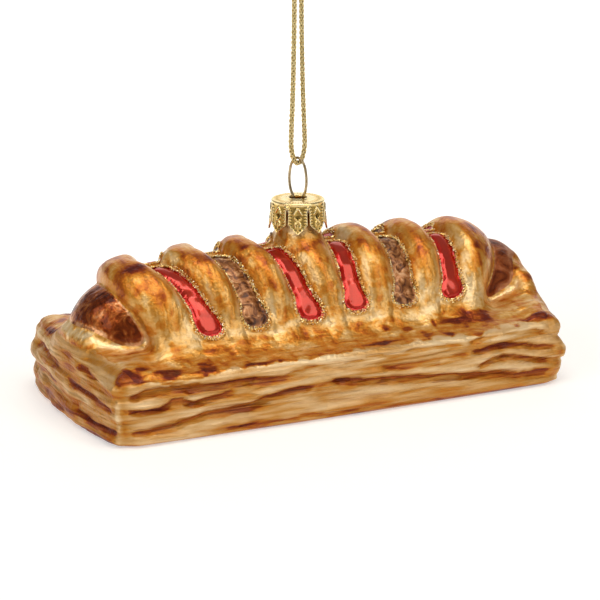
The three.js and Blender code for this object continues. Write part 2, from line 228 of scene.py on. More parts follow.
def mark(piece, name, values):
    """Keeps a number, or three, at each point of a piece, for its material."""
    kind, field = ("FLOAT", "value") if values.ndim == 1 else ("FLOAT_VECTOR", "vector")
    attribute = piece.data.attributes.new(name, kind, "POINT")
    attribute.data.foreach_set(field, values.ravel().astype(np.float32))


def fill(tree, filled, inputs):
    """Gives a node's inputs their values. One that is another node's output is linked."""
    for name, value in inputs.items():
        if isinstance(value, bpy.types.NodeSocket):
            tree.links.new(value, filled.inputs[name])
        else:
            filled.inputs[name].default_value = value


def node(tree, kind, inputs=None, stops=None, **settings):
    """Adds one shader node, such as Math, with its settings and links, and gives its outputs."""
    made = tree.nodes.new("ShaderNode" + kind)
    for name, value in settings.items():
        setattr(made, name, value)
    fill(tree, made, inputs or {})
    if stops:
        ramp = made.color_ramp
        while len(ramp.elements) < len(stops):
            ramp.elements.new(1)
        for element, (place, colour) in zip(ramp.elements, stops):
            element.position = place
            element.color = (*linear(colour), 1)
    return made.outputs


def material(name):
    """An empty node material, with its shader and its coordinates."""
    made = bpy.data.materials.new(name)
    made.use_nodes = True
    shader = made.node_tree.nodes["Principled BSDF"]
    place = node(made.node_tree, "TexCoord")["Object"]
    return made, made.node_tree, shader, place


def per_metre(size_mm):
    """Noise scale that makes lumps of about this size."""
    return 1 / (size_mm * MM)


# The glass body's surface is where a function of the point is zero, as in the CAD solid.


def drawn_in(x, z):
    towards_end = smoothstep(np.abs(x), *NOTCH_SPAN)
    depth = UNDERSIDE_ROUNDING * np.clip(1 - z / UNDERSIDE_ROUNDING, 0, 1) ** 2
    for notch in LAYER_NOTCHES:
        depth = depth + lerp(*NOTCH_DEPTHS, towards_end) * bell(z - notch, NOTCH_HALF_HEIGHT)
    return depth


def outline(x, y, z):
    """Distance inside (negative) or outside the slab's outline, seen from above."""
    low = np.where(x < 0, END_BULGES[0][0], END_BULGES[1][0])
    high = np.where(x < 0, END_BULGES[0][1], END_BULGES[1][1])
    bulge = lerp(low, high, np.clip(z / LID_EDGE_HEIGHT, 0, 1))
    past_x = np.abs(x) - HALF_LENGTH - bulge * np.maximum(0, 1 - (y / HALF_WIDTH) ** 2)
    past_y = np.abs(y) - HALF_WIDTH - FRONT_BULGE * np.maximum(0, 1 - (x / HALF_LENGTH) ** 2)
    return round_corner(past_x, past_y, lerp(*CORNER_RADII, smoothstep(z, 0, LAYER_NOTCHES[0])))


def slab(x, y, z):
    past = outline(x, y, z)
    towards_end = smoothstep(np.abs(x), LID_ENDS_FROM, HALF_LENGTH)
    rise = np.where(x < 0, *LID_RISES) * towards_end
    lid = LID_EDGE_HEIGHT + rise + LID_SLOPE * np.clip(-past, 0, LID_RUN)
    return smooth_max(past + drawn_in(x, z), z - lid, lerp(*LID_ROUNDINGS, towards_end))


def sausage(x, y, z):
    nearest = np.clip(x, *SAUSAGE_ENDS)
    share = (nearest - SAUSAGE_ENDS[0]) / (SAUSAGE_ENDS[1] - SAUSAGE_ENDS[0])
    up = z - lerp(*SAUSAGE_HEIGHTS, share)
    round_end = np.sqrt((x - nearest) ** 2 + y**2 + up**2) - lerp(*SAUSAGE_RADII, share)
    return smooth_max(round_end, x - SAUSAGE_REACH, SAUSAGE_REACH_ROUNDING)


def gap_middle(gap, angle):
    """Where a gap's middle line is, at an angle up round the arch."""
    foot, middle, crown = GAP_FEET[gap], GAP_MIDDLES[gap], GAP_CROWNS[gap]
    share = angle / (math.pi / 2)
    bend = 2 * (foot - 2 * middle + crown)
    return foot + (crown - foot - bend) * share + bend * share**2


def gap_half(angle):
    return lerp(GAP_FOOT_HALF_WIDTH, GAP_HALF_WIDTH, smoothstep(angle, *GAP_FOOT_ANGLES))


def across_strip(x, angle):
    """From 0 on a gap's floor to 1 on the middle line of a strip."""
    left, right = np.full_like(x, -np.inf), np.full_like(x, np.inf)
    for gap in range(len(GAP_FEET)):
        middle = gap_middle(gap, angle)
        left = np.where(middle <= x, middle, left)
        right = np.where(middle > x, np.minimum(right, middle), right)
    side = gap_half(angle)
    half = np.minimum((right - left) / 2 - side, STRIP_HALF_WIDTH)
    return np.clip((np.minimum(x - left, right - x) - side) / half, 0, 1)


def arch_angle(y, z):
    return np.maximum(0, np.arctan2(z - ARCH_AXIS, np.abs(y)))


def strips(x, y, z):
    angle = arch_angle(y, z)
    crown = CROWN_RADIUS - CROWN_FALL * (x / GAP_CROWNS[0]) ** 2
    outer = lerp(FOOT_RADIUS, crown, smoothstep(angle, *ARCH_SPAN))
    relief = lerp(FOOT_RELIEF, CROWN_RELIEF, smoothstep(angle, *RELIEF_SPAN))
    rounded = (1 - (1 - across_strip(x, angle)) ** STRIP_FULLNESS) ** STRIP_FLATNESS
    from_axis = np.hypot(y, z - ARCH_AXIS)
    face = from_axis - outer + relief * (1 - rounded)
    ends = []
    for side, at_foot, at_crown, lean, rounding in STRIP_ENDS:
        past = side * x - lerp(at_foot, at_crown, np.sin(angle))
        beyond = (past + lean * (from_axis - SAUSAGE_RADII[0])) / math.hypot(1, lean)
        ends.append(smooth_max(face, beyond, rounding))
    return np.where(x < 0, *ends)


def collar(x, y, z, at, radii, squareness):
    total = 0
    for value, middle, radius in zip((x, y, z), at, radii):
        total = total + np.abs((value - middle) / radius) ** squareness
    return (total ** (1 / squareness) - 1) * min(radii)


def pastry(x, y, z):
    over = np.minimum(strips(x, y, z), sausage(x, y, z) + SLEEVE_INSET)
    reach = lerp(*LID_REACHES, smoothstep(np.abs(x), *LID_REACH_SPAN))
    result = smooth_min(slab(x, y, z), over, reach)
    for one in COLLARS:
        result = smooth_min(result, collar(x, y, z, *one), COLLAR_REACH)
    neck = smooth_max(np.hypot(x, y) - NECK_RADIUS, z - NECK_TOP, NECK_ROUNDING)
    return smooth_min(result, neck, NECK_FLARE)


def glass(x, y, z):
    whole = smooth_min(pastry(x, y, z), sausage(x, y, z), SAUSAGE_CREASE)
    return smooth_max(whole, -z, UNDERSIDE_EDGE)


SLOPE_STEP = 0.02


def slopes(points):
    """The function's value at each point, and its direction of rise."""
    value = glass(*points.T)
    rise = np.empty_like(points)
    for axis in range(3):
        moved = points.copy()
        moved[:, axis] += SLOPE_STEP
        rise[:, axis] = (glass(*moved.T) - value) / SLOPE_STEP
    return value, rise


# Windows are the gaps' painted fields.
FAR = 9  # further off than anything here reaches
WINDOWS_FROM = ARCH_AXIS - 3  # there are none below this height


def windows(x, y, z):
    """Distance from the nearest window's outline, negative inside it, and that window's number."""
    angle = arch_angle(y, z)
    shift = np.where(y > 0, BACK_SHIFT, 0)
    off = np.stack([x - shift - gap_middle(gap, angle) for gap in range(len(GAP_FEET))])
    nearest = np.argmin(np.abs(off), axis=0)
    across = np.take_along_axis(off, nearest[None], 0)[0]
    from_ends = ARCH_AXIS * np.minimum(angle - np.take(GAP_STARTS, nearest), GAP_TOP - angle)
    distance = round_corner(np.abs(across) - gap_half(angle), -from_ends, GAP_HALF_WIDTH)
    return np.where(z < WINDOWS_FROM, FAR, distance), nearest


# Creases between the baked layers: places along the side and heights, then width and depth
FRONT_CREASES = [
    ([(-57.8, 12.3), (-54.1, 13.3), (-47.3, 13.6), (-39.5, 13.4), (-31.3, 13), (-24.9, 12.8)], 0.8, 0.9),
    ([(-50.7, 15.1), (-43.9, 14.5), (-37.1, 13.8), (-31.2, 13.5)], 0.4, 0.3),
    ([(-58.2, 9.6), (-54.9, 8.8), (-50.5, 9), (-47.4, 10.7), (-44.7, 10.6), (-42, 9.4),
      (-38.8, 10.1), (-31.3, 11)], 0.8, 0.8),
    ([(-57.3, 3.9), (-53.3, 3.9), (-46.5, 4.6), (-38.4, 6.5), (-28.8, 6.4), (-21.5, 8.2),
      (-16.6, 8.9), (-10.6, 9.2)], 0.9, 1.0),
    ([(-27.3, 12.7), (-18.5, 12.9), (-10.7, 14.4), (-1.6, 13.8), (8.5, 14.4), (18.7, 14.7),
      (31.1, 14.5)], 0.6, 0.4),
    ([(7.6, 11.5), (17.3, 10.9), (25.2, 11.3), (32.8, 11.9)], 0.7, 0.4),
    ([(-33.7, 2.1), (-24, 2), (-11.7, 2.1), (3.5, 1.3)], 0.6, 0.35),
    ([(32.7, 14.5), (37.5, 15.5), (43.2, 15.8), (50.6, 15.3), (55.6, 13.9)], 0.6, 0.7),
    ([(33.6, 12), (39.2, 12.5), (45.4, 11.9), (57.8, 10.1)], 0.65, 0.8),
    ([(34.9, 8.2), (39.3, 9.2), (45.4, 9.1), (51.6, 7.4), (56.2, 6.9)], 0.65, 0.8),
    ([(-5.6, 10), (3.4, 8.9), (18.6, 7.4), (29.7, 6.6), (39.4, 5.5), (47.6, 4.2), (56.3, 4.3)], 0.8, 0.9),
]
LEFT_CREASES = [
    ([(-29.8, 10.1), (-28.4, 11.2)], 0.8, 0.35),
    ([(-19.5, 14.6), (-13.8, 15.7), (-9.3, 15.7)], 0.8, 0.45),
    ([(-27.8, 8.8), (-23.3, 9.7), (-18.7, 10.3), (-11.5, 10.9), (-4.2, 10.8)], 0.9, 0.55),
    ([(-28.9, 3.7), (-25.7, 4.1), (-19.6, 3.8), (-13.9, 4.3), (-7.9, 4.3)], 0.9, 0.55),
    ([(2, 13.5), (9, 13), (17, 13.6), (25, 12.6)], 0.9, 0.55),
    ([(4, 7.4), (12, 8.2), (20, 7.4), (28, 8)], 0.9, 0.55),
    ([(-2, 2.6), (10, 3.6), (19, 3), (27, 3.4)], 0.8, 0.4),
]

# Unevenness that the mould left: height, sizes in mm and seed
CREASE_WAVES = [(0.35, (6, 6, 3), 31), (0.16, (1.8, 1.8, 3), 30)]
LAYER_FOLDS = [(1, (17, 17, 2.8), 1)]
LAYER_LUMPS = [(0.14, (6, 6, 1.6), 2), (0.16, (9, 9, 1.1), 35)]
SLAB_END_LUMPS = [(0.55, (6, 9, 3), 14)]
LID_LUMPS = [(0.16, (6, 2, 4), 4), (0.1, (3, 1.4, 3), 5)]
LID_END_LUMPS = [(0.4, (3.5, 3, 2.5), 12)]
STRIP_LUMPS = [(0.3, (4.5, 9, 60), 6)]
STRIP_WRINKLES = [(0.2, (2.3, 6, 60), 7)]
WINDOW_WAVES = [(0.3, (3, 3, 3), 13)]
RED_LUMPS = [(0.28, (3.5, 3.5, 3.5), 8), (0.08, (1.8, 1.8, 1.8), 38)]
BROWN_LUMPS = [(0.16, (1.5, 1.5, 1.5), 9)]
SAUSAGE_LUMPS = [(0.25, (4.5, 4.5, 4.5), 10), (0.1, (1.6, 1.6, 1.6), 11)]

# Heights of the mould's larger relief
FOLD_HEIGHT, PINCH_HEIGHT, RED_HEIGHT, BROWN_HEIGHT = 0.45, 0.6, 0.6, 0.4
LINE_HEIGHT, LINE_SPREAD = 0.45, 0.5  # of the raised line that carries the glitter


def creases(along, height, curves):
    """At a place on an upright side: the creases' depth, the broad stain in them and their dark line, which
    is painted shadow under the upper layer's overhang.
    """
    depth, raised, stain, dark = (np.zeros_like(along) for _ in range(4))
    for points, width, deep in curves:
        places, heights = np.array(points, float).T
        ends = smoothstep(along, places[0] - 1.5, places[0] + 2)
        ends = ends * (1 - smoothstep(along, places[-1] - 2.5, places[-1] + 1.5))
        off = (height - np.interp(along, places, heights)) / width
        spread = np.where(off > 0, 0.65, 1.6)
        depth = np.maximum(depth, deep * np.exp(-((np.abs(off) / spread) ** 1.5)) * ends)
        lips = bell(off - 2, 1.1) + 0.6 * bell(off + 3, 1.3)
        raised = np.maximum(raised, 0.45 * deep * lips * ends)
        strength = min(1, 0.2 + 0.95 * deep) * ends
        band = smoothstep(off, -2.3, -0.9) * (1 - smoothstep(off, 0.3, 0.8))
        stain = np.maximum(stain, strength * band)
        # The dark line is painted shadow under the upper layer, which overhangs the crease.
        dark = np.maximum(dark, strength * bell(off - 0.1, 0.5))
    return depth - raised, stain, dark


def side_creases(x, y, z, rise):
    """The creases of all four sides. The back and the right end have the others, turned about."""
    height = z + lumps((x, y, z), CREASE_WAVES)
    sides = np.array([-rise[:, 1], rise[:, 1], -rise[:, 0], rise[:, 0]])
    facing = np.argmax(sides, axis=0)
    square = smoothstep(np.max(sides, axis=0), 0.6, 0.85)
    found = [
        creases(along, height, curves)
        for along, curves in ((x, FRONT_CREASES), (-x, FRONT_CREASES), (y, LEFT_CREASES), (-y, LEFT_CREASES))
    ]
    return [np.choose(facing, [one[i] for one in found]) * square for i in range(3)]


def fields(points, rise):
    """What the mould and the painter left at each point of the body, and the painted shadow along the
    creases.
    """
    x, y, z = points.T
    angle = arch_angle(y, z)
    upright = smoothstep(np.hypot(rise[:, 0], rise[:, 1]), 0.5, 0.85)
    side = upright * smoothstep(outline(x, y, z), -5.5, -3) * (1 - smoothstep(z, 18.5, 21))
    depth, stain, dark = side_creases(x, y, z, rise)
    window, gap = windows(x, y, z)
    dome = np.where(np.abs(x) > DOMES_FROM, pastry(x, y, z) - sausage(x, y, z), -1)
    end = smoothstep(dome, 0, 0.5)
    over = smoothstep(-strips(x, y, z), -1.2, 0.2) * (1 - end)
    corner = np.abs(rise[:, 0]) - np.abs(rise[:, 1])
    pinch = bell(corner, 0.22) * side * (1 - smoothstep(z, 9, 13))
    return dict(
        angle=angle, arc=angle * ARCH_AXIS, side=side, crease=depth * side, stain=stain * side,
        dark=dark * side, window=window, gap=gap, end=end, over=over, pinch=pinch, dome=dome,
        strip=across_strip(x, angle), fold=np.abs(lumps((x, y, z), LAYER_FOLDS)),
    )


def mould_relief(points, rise, f):
    """How far the painted surface stands out from the plain one."""
    x, y, z = points.T
    along, round_arch = (x, y, z), (x, f["arc"], y)

    # The slab's layers: folds that are pinched together at the corners and lean at both ends
    layers = FOLD_HEIGHT * (smoothstep(f["fold"], 0, 0.3) - 0.7) + lumps(along, LAYER_LUMPS)
    ends = smoothstep(np.abs(rise[:, 0]), 0.5, 0.8) * f["side"]
    layers = layers + ends * lumps((x, y + 0.8 * z, z - 0.5 * y), SLAB_END_LUMPS)
    height = f["side"] * layers - f["crease"] + PINCH_HEIGHT * f["pinch"]

    # The lid, which is more folded near its ends
    lid = (1 - f["side"]) * (1 - f["over"]) * (1 - f["end"])
    folds = smoothstep(np.abs(x), 40, 52) * lumps(along, LID_END_LUMPS)
    height = height + lid * (lumps(along, LID_LUMPS) + folds)

    # The strips: nearly filled in between at their feet, and wrinkled there
    inside = smoothstep(-f["window"], -0.2, 0.5)
    filled = FOOT_RELIEF * ((1 - f["strip"]) ** 3 * (1 - smoothstep(f["angle"], 0.1, 0.35)) - 0.3)
    low = smoothstep(-f["angle"], -0.8, -0.2)
    wrinkles = lumps(round_arch, STRIP_LUMPS) + low * lumps(round_arch, STRIP_WRINKLES)
    height = height + f["over"] * (1 - inside) * (filled + wrinkles)

    # The windows' raised lines, and the fillings inside them
    height = height + LINE_HEIGHT * bell(f["window"], LINE_SPREAD)
    is_red = np.isin(f["gap"], [gap for gap, kind in enumerate(GAP_FILLINGS) if kind == "red"])
    inward = lumps(along, WINDOW_WAVES) - f["window"]
    red = RED_HEIGHT * smoothstep(inward, 0.65, 1.7) + lumps(along, RED_LUMPS)
    brown = BROWN_HEIGHT * smoothstep(inward, 0.2, 2.2) + lumps(along, BROWN_LUMPS)
    height = height + inside * np.where(is_red, red, brown)
    return height + f["end"] * lumps(along, SAUSAGE_LUMPS)


# Burnt patches near the lid's edges and on the strips: the middle, half length, half width, strength
BURNT_PATCHES = [
    ((-57.2, -28, 16.6), 3.4, 1.7, 1), ((-52.6, -26, 17.6), 1.8, 0.8, 0.7),
    ((-46.8, -27.6, 16.3), 3, 1.5, 0.9), ((-37.2, -26.8, 16.5), 1.5, 2.2, 0.95),
    ((-39.4, -28.6, 15.6), 2, 0.7, 0.8), ((-24.5, -28.8, 16.2), 3, 0.6, 0.8),
    ((-8, -28.6, 16.7), 3, 0.5, 0.6), ((9.2, -27.4, 16.9), 4.6, 0.9, 0.75),
    ((13.4, -22, 18.5), 1.2, 1.2, 0.6), ((19.3, -23.2, 17.8), 1.4, 0.9, 0.85),
    ((26.8, -22.5, 18.1), 0.6, 1.4, 0.6), ((39.5, -22.2, 18.3), 4, 1.9, 1),
    ((33.2, -22.6, 18), 3.2, 0.9, 0.9), ((28.4, -27.6, 16.6), 1.7, 0.8, 0.85),
    ((55.9, -26.4, 17.9), 4.4, 1.3, 1), ((60.5, -25, 16.5), 1.6, 2.4, 0.9),
    ((-60.8, 15, 17.8), 1.6, 6, 0.5), ((-50, 26, 17.4), 4, 1.6, 1),
    ((-31, 27.8, 16.6), 4, 1.2, 0.9), ((-6, 26.6, 17), 2, 1.1, 0.8),
    ((11, 27.8, 16.4), 4, 1.2, 0.9), ((33, 25.4, 17.6), 4.4, 1.6, 1),
    ((52, 27, 17), 4, 1.4, 1), ((61.5, 12, 16.5), 1.4, 5, 0.8),
    ((61.8, -8, 16.5), 1.2, 3, 0.6), ((-47.6, -6.6, 37), 2.6, 2.2, 0.5),
    ((-17.5, -5.9, 38.8), 2.6, 2, 0.1), ((12.9, -7.4, 38.1), 2.4, 2, 0.15),
    ((28.3, -11.7, 35.3), 2, 3, 0.1), ((45.1, -12.3, 33.6), 2.2, 3, 0.2),
    ((-48, 9, 36), 3, 3, 0.4), ((-29, 6, 38.6), 2.6, 2.4, 0.15),
    ((29, 8, 37.4), 2.4, 2.4, 0.2), ((45, 11, 34.6), 2.4, 3, 0.2),
]
# The lid's lower border on the front: places along the roll and heights
LID_BORDER = [
    (-59.5, 16.5), (-58.3, 16.1), (-55, 15.5), (-49.7, 15), (-40.5, 15), (-37.4, 15.6), (-30, 16),
    (-17, 15.9), (3, 16.1), (26, 16.3), (36.3, 16), (40, 16.3), (44.4, 16.5), (50.5, 16.8), (55, 16.4),
    (58.2, 16.9),
]

# Unevenness of the painting: strength, sizes in mm and seed
SIDE_CLOUDS = [(0.13, (22, 22, 3.2), 21), (0.08, (7, 7, 2), 22)]
SLAB_END_CLOUDS = [(0.14, (4, 4, 4), 29)]
BORDER_WAVES = [(0.35, (2.4, 2.4, 2.4), 23)]
BORDER_END_WAVES = [(1.2, (2.6, 2.6, 2.6), 36), (0.8, (7, 7, 7), 37)]
LID_CLOUDS = [(0.12, (8, 3, 6), 25), (0.11, (2.6, 1.8, 3), 26)]
DAB_SHAPES, DAB_GROUPS = [(1, (1.6, 5, 5), 33)], [(1, (9, 9, 9), 34)]
BURNT_WAVES = [(0.45, (2.6, 1.8, 1.8), 24)]
STRIP_CLOUDS = [(0.15, (4, 6, 60), 27)]
CROWN_CLOUDS = [(0.16, (3, 4, 60), 28)]

# How brown each part is on the whole, from 0 for cream to 1 for nearly black
SIDE_BAKE, LID_BAKE, STRIP_BAKE, CROWN_BAKE = 0.27, 0.3, 0.26, 0.18


def bake(points, f):
    """The painter's plan, with painted shade on the slab's ends and a painted highlight on its pinched
    corners: how brown the side is and how brown the top is, how deep inside a burnt patch a place is,
    and its height over the lid's lower border in mm."""
    x, y, z = points.T
    along, round_arch = (x, y, z), (x, f["arc"], y)

    # Browner in the folds, at the foot and towards both ends, and paler on the creases' raised lips,
    # under the lid and at the corners. The browner ends are painted shade and the paler pinched
    # corners a painted highlight.
    sides = SIDE_BAKE + lumps(along, SIDE_CLOUDS) + 0.3 * np.minimum(f["crease"], 0)
    sides = sides + 0.1 * (1 - smoothstep(f["fold"], 0, 0.16)) - 0.1 * smoothstep(z, 12.6, 14)
    sides = sides + 0.2 * (1 - smoothstep(z, 0.4, 1.6)) + 0.06 * (1 - smoothstep(z, 2, 5))
    # Painted highlight: the pinched corner ridges are painted paler.
    sides = sides - 0.4 * f["pinch"]
    # Painted shade: the end faces are painted browner, as they get less light.
    sides = sides + smoothstep(np.abs(x), 57.5, 60) * (0.14 + lumps(along, SLAB_END_CLOUDS))

    places, heights = np.array(LID_BORDER).T
    border = np.interp(np.where(y > 0, -x, x), places, heights)
    outward = np.abs(x) + lumps(along, BORDER_END_WAVES)
    near_end = smoothstep(outward, 55.5, 59.5) * (1 - smoothstep(y, 8, 16))
    above = z + lumps(along, BORDER_WAVES) - border - 3 * near_end

    dabs = lumps(along, DAB_SHAPES) * lumps(along, DAB_GROUPS)
    lid = LID_BAKE + lumps(along, LID_CLOUDS) + 0.2 * smoothstep(dabs, 0.1, 0.4)
    lid = lid - 0.14 * smoothstep(z, 18.8, 21) * (1 - smoothstep(np.abs(x), 50, 56))
    burnt = np.full_like(x, -1.0)
    for (at_x, at_y, at_z), half_x, half_y, strength in BURNT_PATCHES:
        crosswise_off = ((y - at_y) ** 2 + (z - at_z) ** 2) / half_y**2
        burnt = np.maximum(burnt, 1.3 * strength - np.sqrt(((x - at_x) / half_x) ** 2 + crosswise_off))
    burnt = burnt + lumps(along, BURNT_WAVES)

    # Browner up the strips, paler in the hollows between them and on the lips round the domes
    up = smoothstep(f["angle"], 0.15, 1.2)
    strip = STRIP_BAKE + lumps(round_arch, STRIP_CLOUDS)
    strip = strip + up * (CROWN_BAKE + lumps(round_arch, CROWN_CLOUDS))
    strip = strip - 0.2 * (1 - smoothstep(f["strip"], 0.15, 0.7))
    glue = np.exp(-((f["window"] / 0.7) ** 4))
    lip = bell(f["dome"] + 0.9, 0.8) * (np.abs(x) > DOMES_FROM) * (1 - smoothstep(z, 22, 26))
    top = lerp(lid, strip, f["over"]) + 0.15 * glue - 0.3 * lip
    return np.stack([sides, top, burnt], axis=1), np.where(f["over"] > 0.5, FAR, above)


VOXEL = 0.46
SETTLING_TURNS, EVENING_TURNS = 7, (1, 3, 4, 5)  # the points are evened out on some of the turns
EVENING_SHARE = 0.7


def fine_mesh(cad):
    """The CAD body's surface as even four-sided faces: its points in mm and its faces."""
    coarse = in_scene("body_to_remesh", cad.data.copy())
    remesh = coarse.modifiers.new("Remesh", "REMESH")
    remesh.mode = "VOXEL"
    remesh.voxel_size = VOXEL * MM
    evaluated = coarse.evaluated_get(bpy.context.evaluated_depsgraph_get())
    mesh = evaluated.to_mesh()
    points = np.empty(3 * len(mesh.vertices))
    mesh.vertices.foreach_get("co", points)
    quads = np.array([tuple(p.vertices) for p in mesh.polygons if len(p.vertices) == 4])
    evaluated.to_mesh_clear()
    bpy.data.objects.remove(coarse)
    return points.reshape(-1, 3) / MM, quads


def settled(points, quads):
    """Each point goes to the true surface, and evens out its distance from its neighbours."""
    turned = np.concatenate([quads, np.roll(quads, 2, axis=1)])
    edges = np.concatenate([turned[:, [0, 1]], turned[:, [1, 0]]])
    count = np.bincount(edges[:, 0], minlength=len(points))[:, None]
    for turn in range(SETTLING_TURNS):
        value, rise = slopes(points)
        steep = np.maximum(np.sum(rise**2, axis=1), 0.05)
        points = points - rise * np.clip(value / steep, -1.5, 1.5)[:, None]
        if turn in EVENING_TURNS:
            ends = points[edges[:, 1]].T
            total = np.stack([np.bincount(edges[:, 0], end, len(points)) for end in ends], 1)
            pull = total / count - points
            upward = rise / np.sqrt(steep)[:, None]
            points = points + EVENING_SHARE * (pull - upward * np.sum(pull * upward, 1)[:, None])
    return points


def outlines(faces):
    """The closed outlines round a patch of faces, as lists of points."""
    pairs = dict.fromkeys((a, b) for face in faces.tolist() for a, b in zip(face, face[1:] + face[:1]))
    rim = {a: b for a, b in pairs if (b, a) not in pairs}
    loops = []
    while rim:
        first, after = rim.popitem()
        loop = [first]
        while after != first:
            loop.append(after)
            after = rim.pop(after)
        loops.append(loop)
    return loops


def glass_body():
    """The CAD body again, with the mould's fine relief and the painter's colours in its mesh."""
    points, quads = fine_mesh(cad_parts["glass_body"])
    points = settled(points, quads)
    rise = unit(slopes(points)[1])
    f = fields(points, rise)
    bakes, above = bake(points, f)
    height = mould_relief(points, rise, f) * smoothstep(points[:, 2], 0.1, 0.8)
    points = points + rise * height[:, None]
    points[:, 2] = np.maximum(points[:, 2], 0)

    # The flat underside becomes one face.
    flat = np.all(points[quads][:, :, 2] < 0.02, axis=1)
    wall = quads[~flat]
    loops = outlines(quads[flat])
    used = np.unique(np.concatenate([wall.ravel(), *loops]))
    number = np.full(len(points), -1)
    number[used] = np.arange(len(used))
    faces = [[int(number[v]) for v in face] for face in wall.tolist() + loops]
    body = mesh_piece("glass_body_painted", points[used], faces)
    plan = dict(
        bakes=bakes,
        edges=np.stack([above, f["stain"], f["dark"]], axis=1),
        zones=np.stack([f["side"], f["over"], -f["window"]], axis=1),
        arch=np.stack([points[:, 0], f["arc"], np.sign(points[:, 1])], axis=1) * MM,
        dome=np.clip(f["dome"], -1, 2),
    )
    for name, values in plan.items():
        mark(body, name, values[used])
    shown(body, pastry_lacquer(), brown_lacquer(), clear_red_lacquer())
    slots = {"brown": 1, "red": 2}
    filling = np.array([slots[kind] for kind in GAP_FILLINGS])[f["gap"][wall[:, 0]]]
    picked = np.where(f["window"][wall].mean(axis=1) < -0.1, filling, 0)
    picked = np.concatenate([picked, np.zeros(len(loops), int)])
    body.data.polygons.foreach_set("material_index", picked.astype(np.int32))
    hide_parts("glass_body")


# Materials

BAKED_SIDE = [
    (0, "#eed0a2"), (0.22, "#d6a96e"), (0.36, "#c48c42"), (0.48, "#c07a22"),
    (0.6, "#a9580f"), (0.72, "#8e3c07"), (0.86, "#752709"), (1, "#601e09"),
]
BAKED_TOP = [
    (0, "#f0d09c"), (0.22, "#deac62"), (0.36, "#cc8a32"), (0.48, "#c4741a"),
    (0.6, "#a9560c"), (0.72, "#8e3c07"), (0.86, "#702409"), (1, "#5a1a0a"),
]
COPPER = [(0.36, "#4c1803"), (0.49, "#84390e"), (0.59, "#b4672f"), (0.7, "#e4a878")]
DULL_COPPER = [(0.38, "#5c240c"), (0.5, "#8a441e"), (0.62, "#9c5630"), (0.75, "#b87a50")]


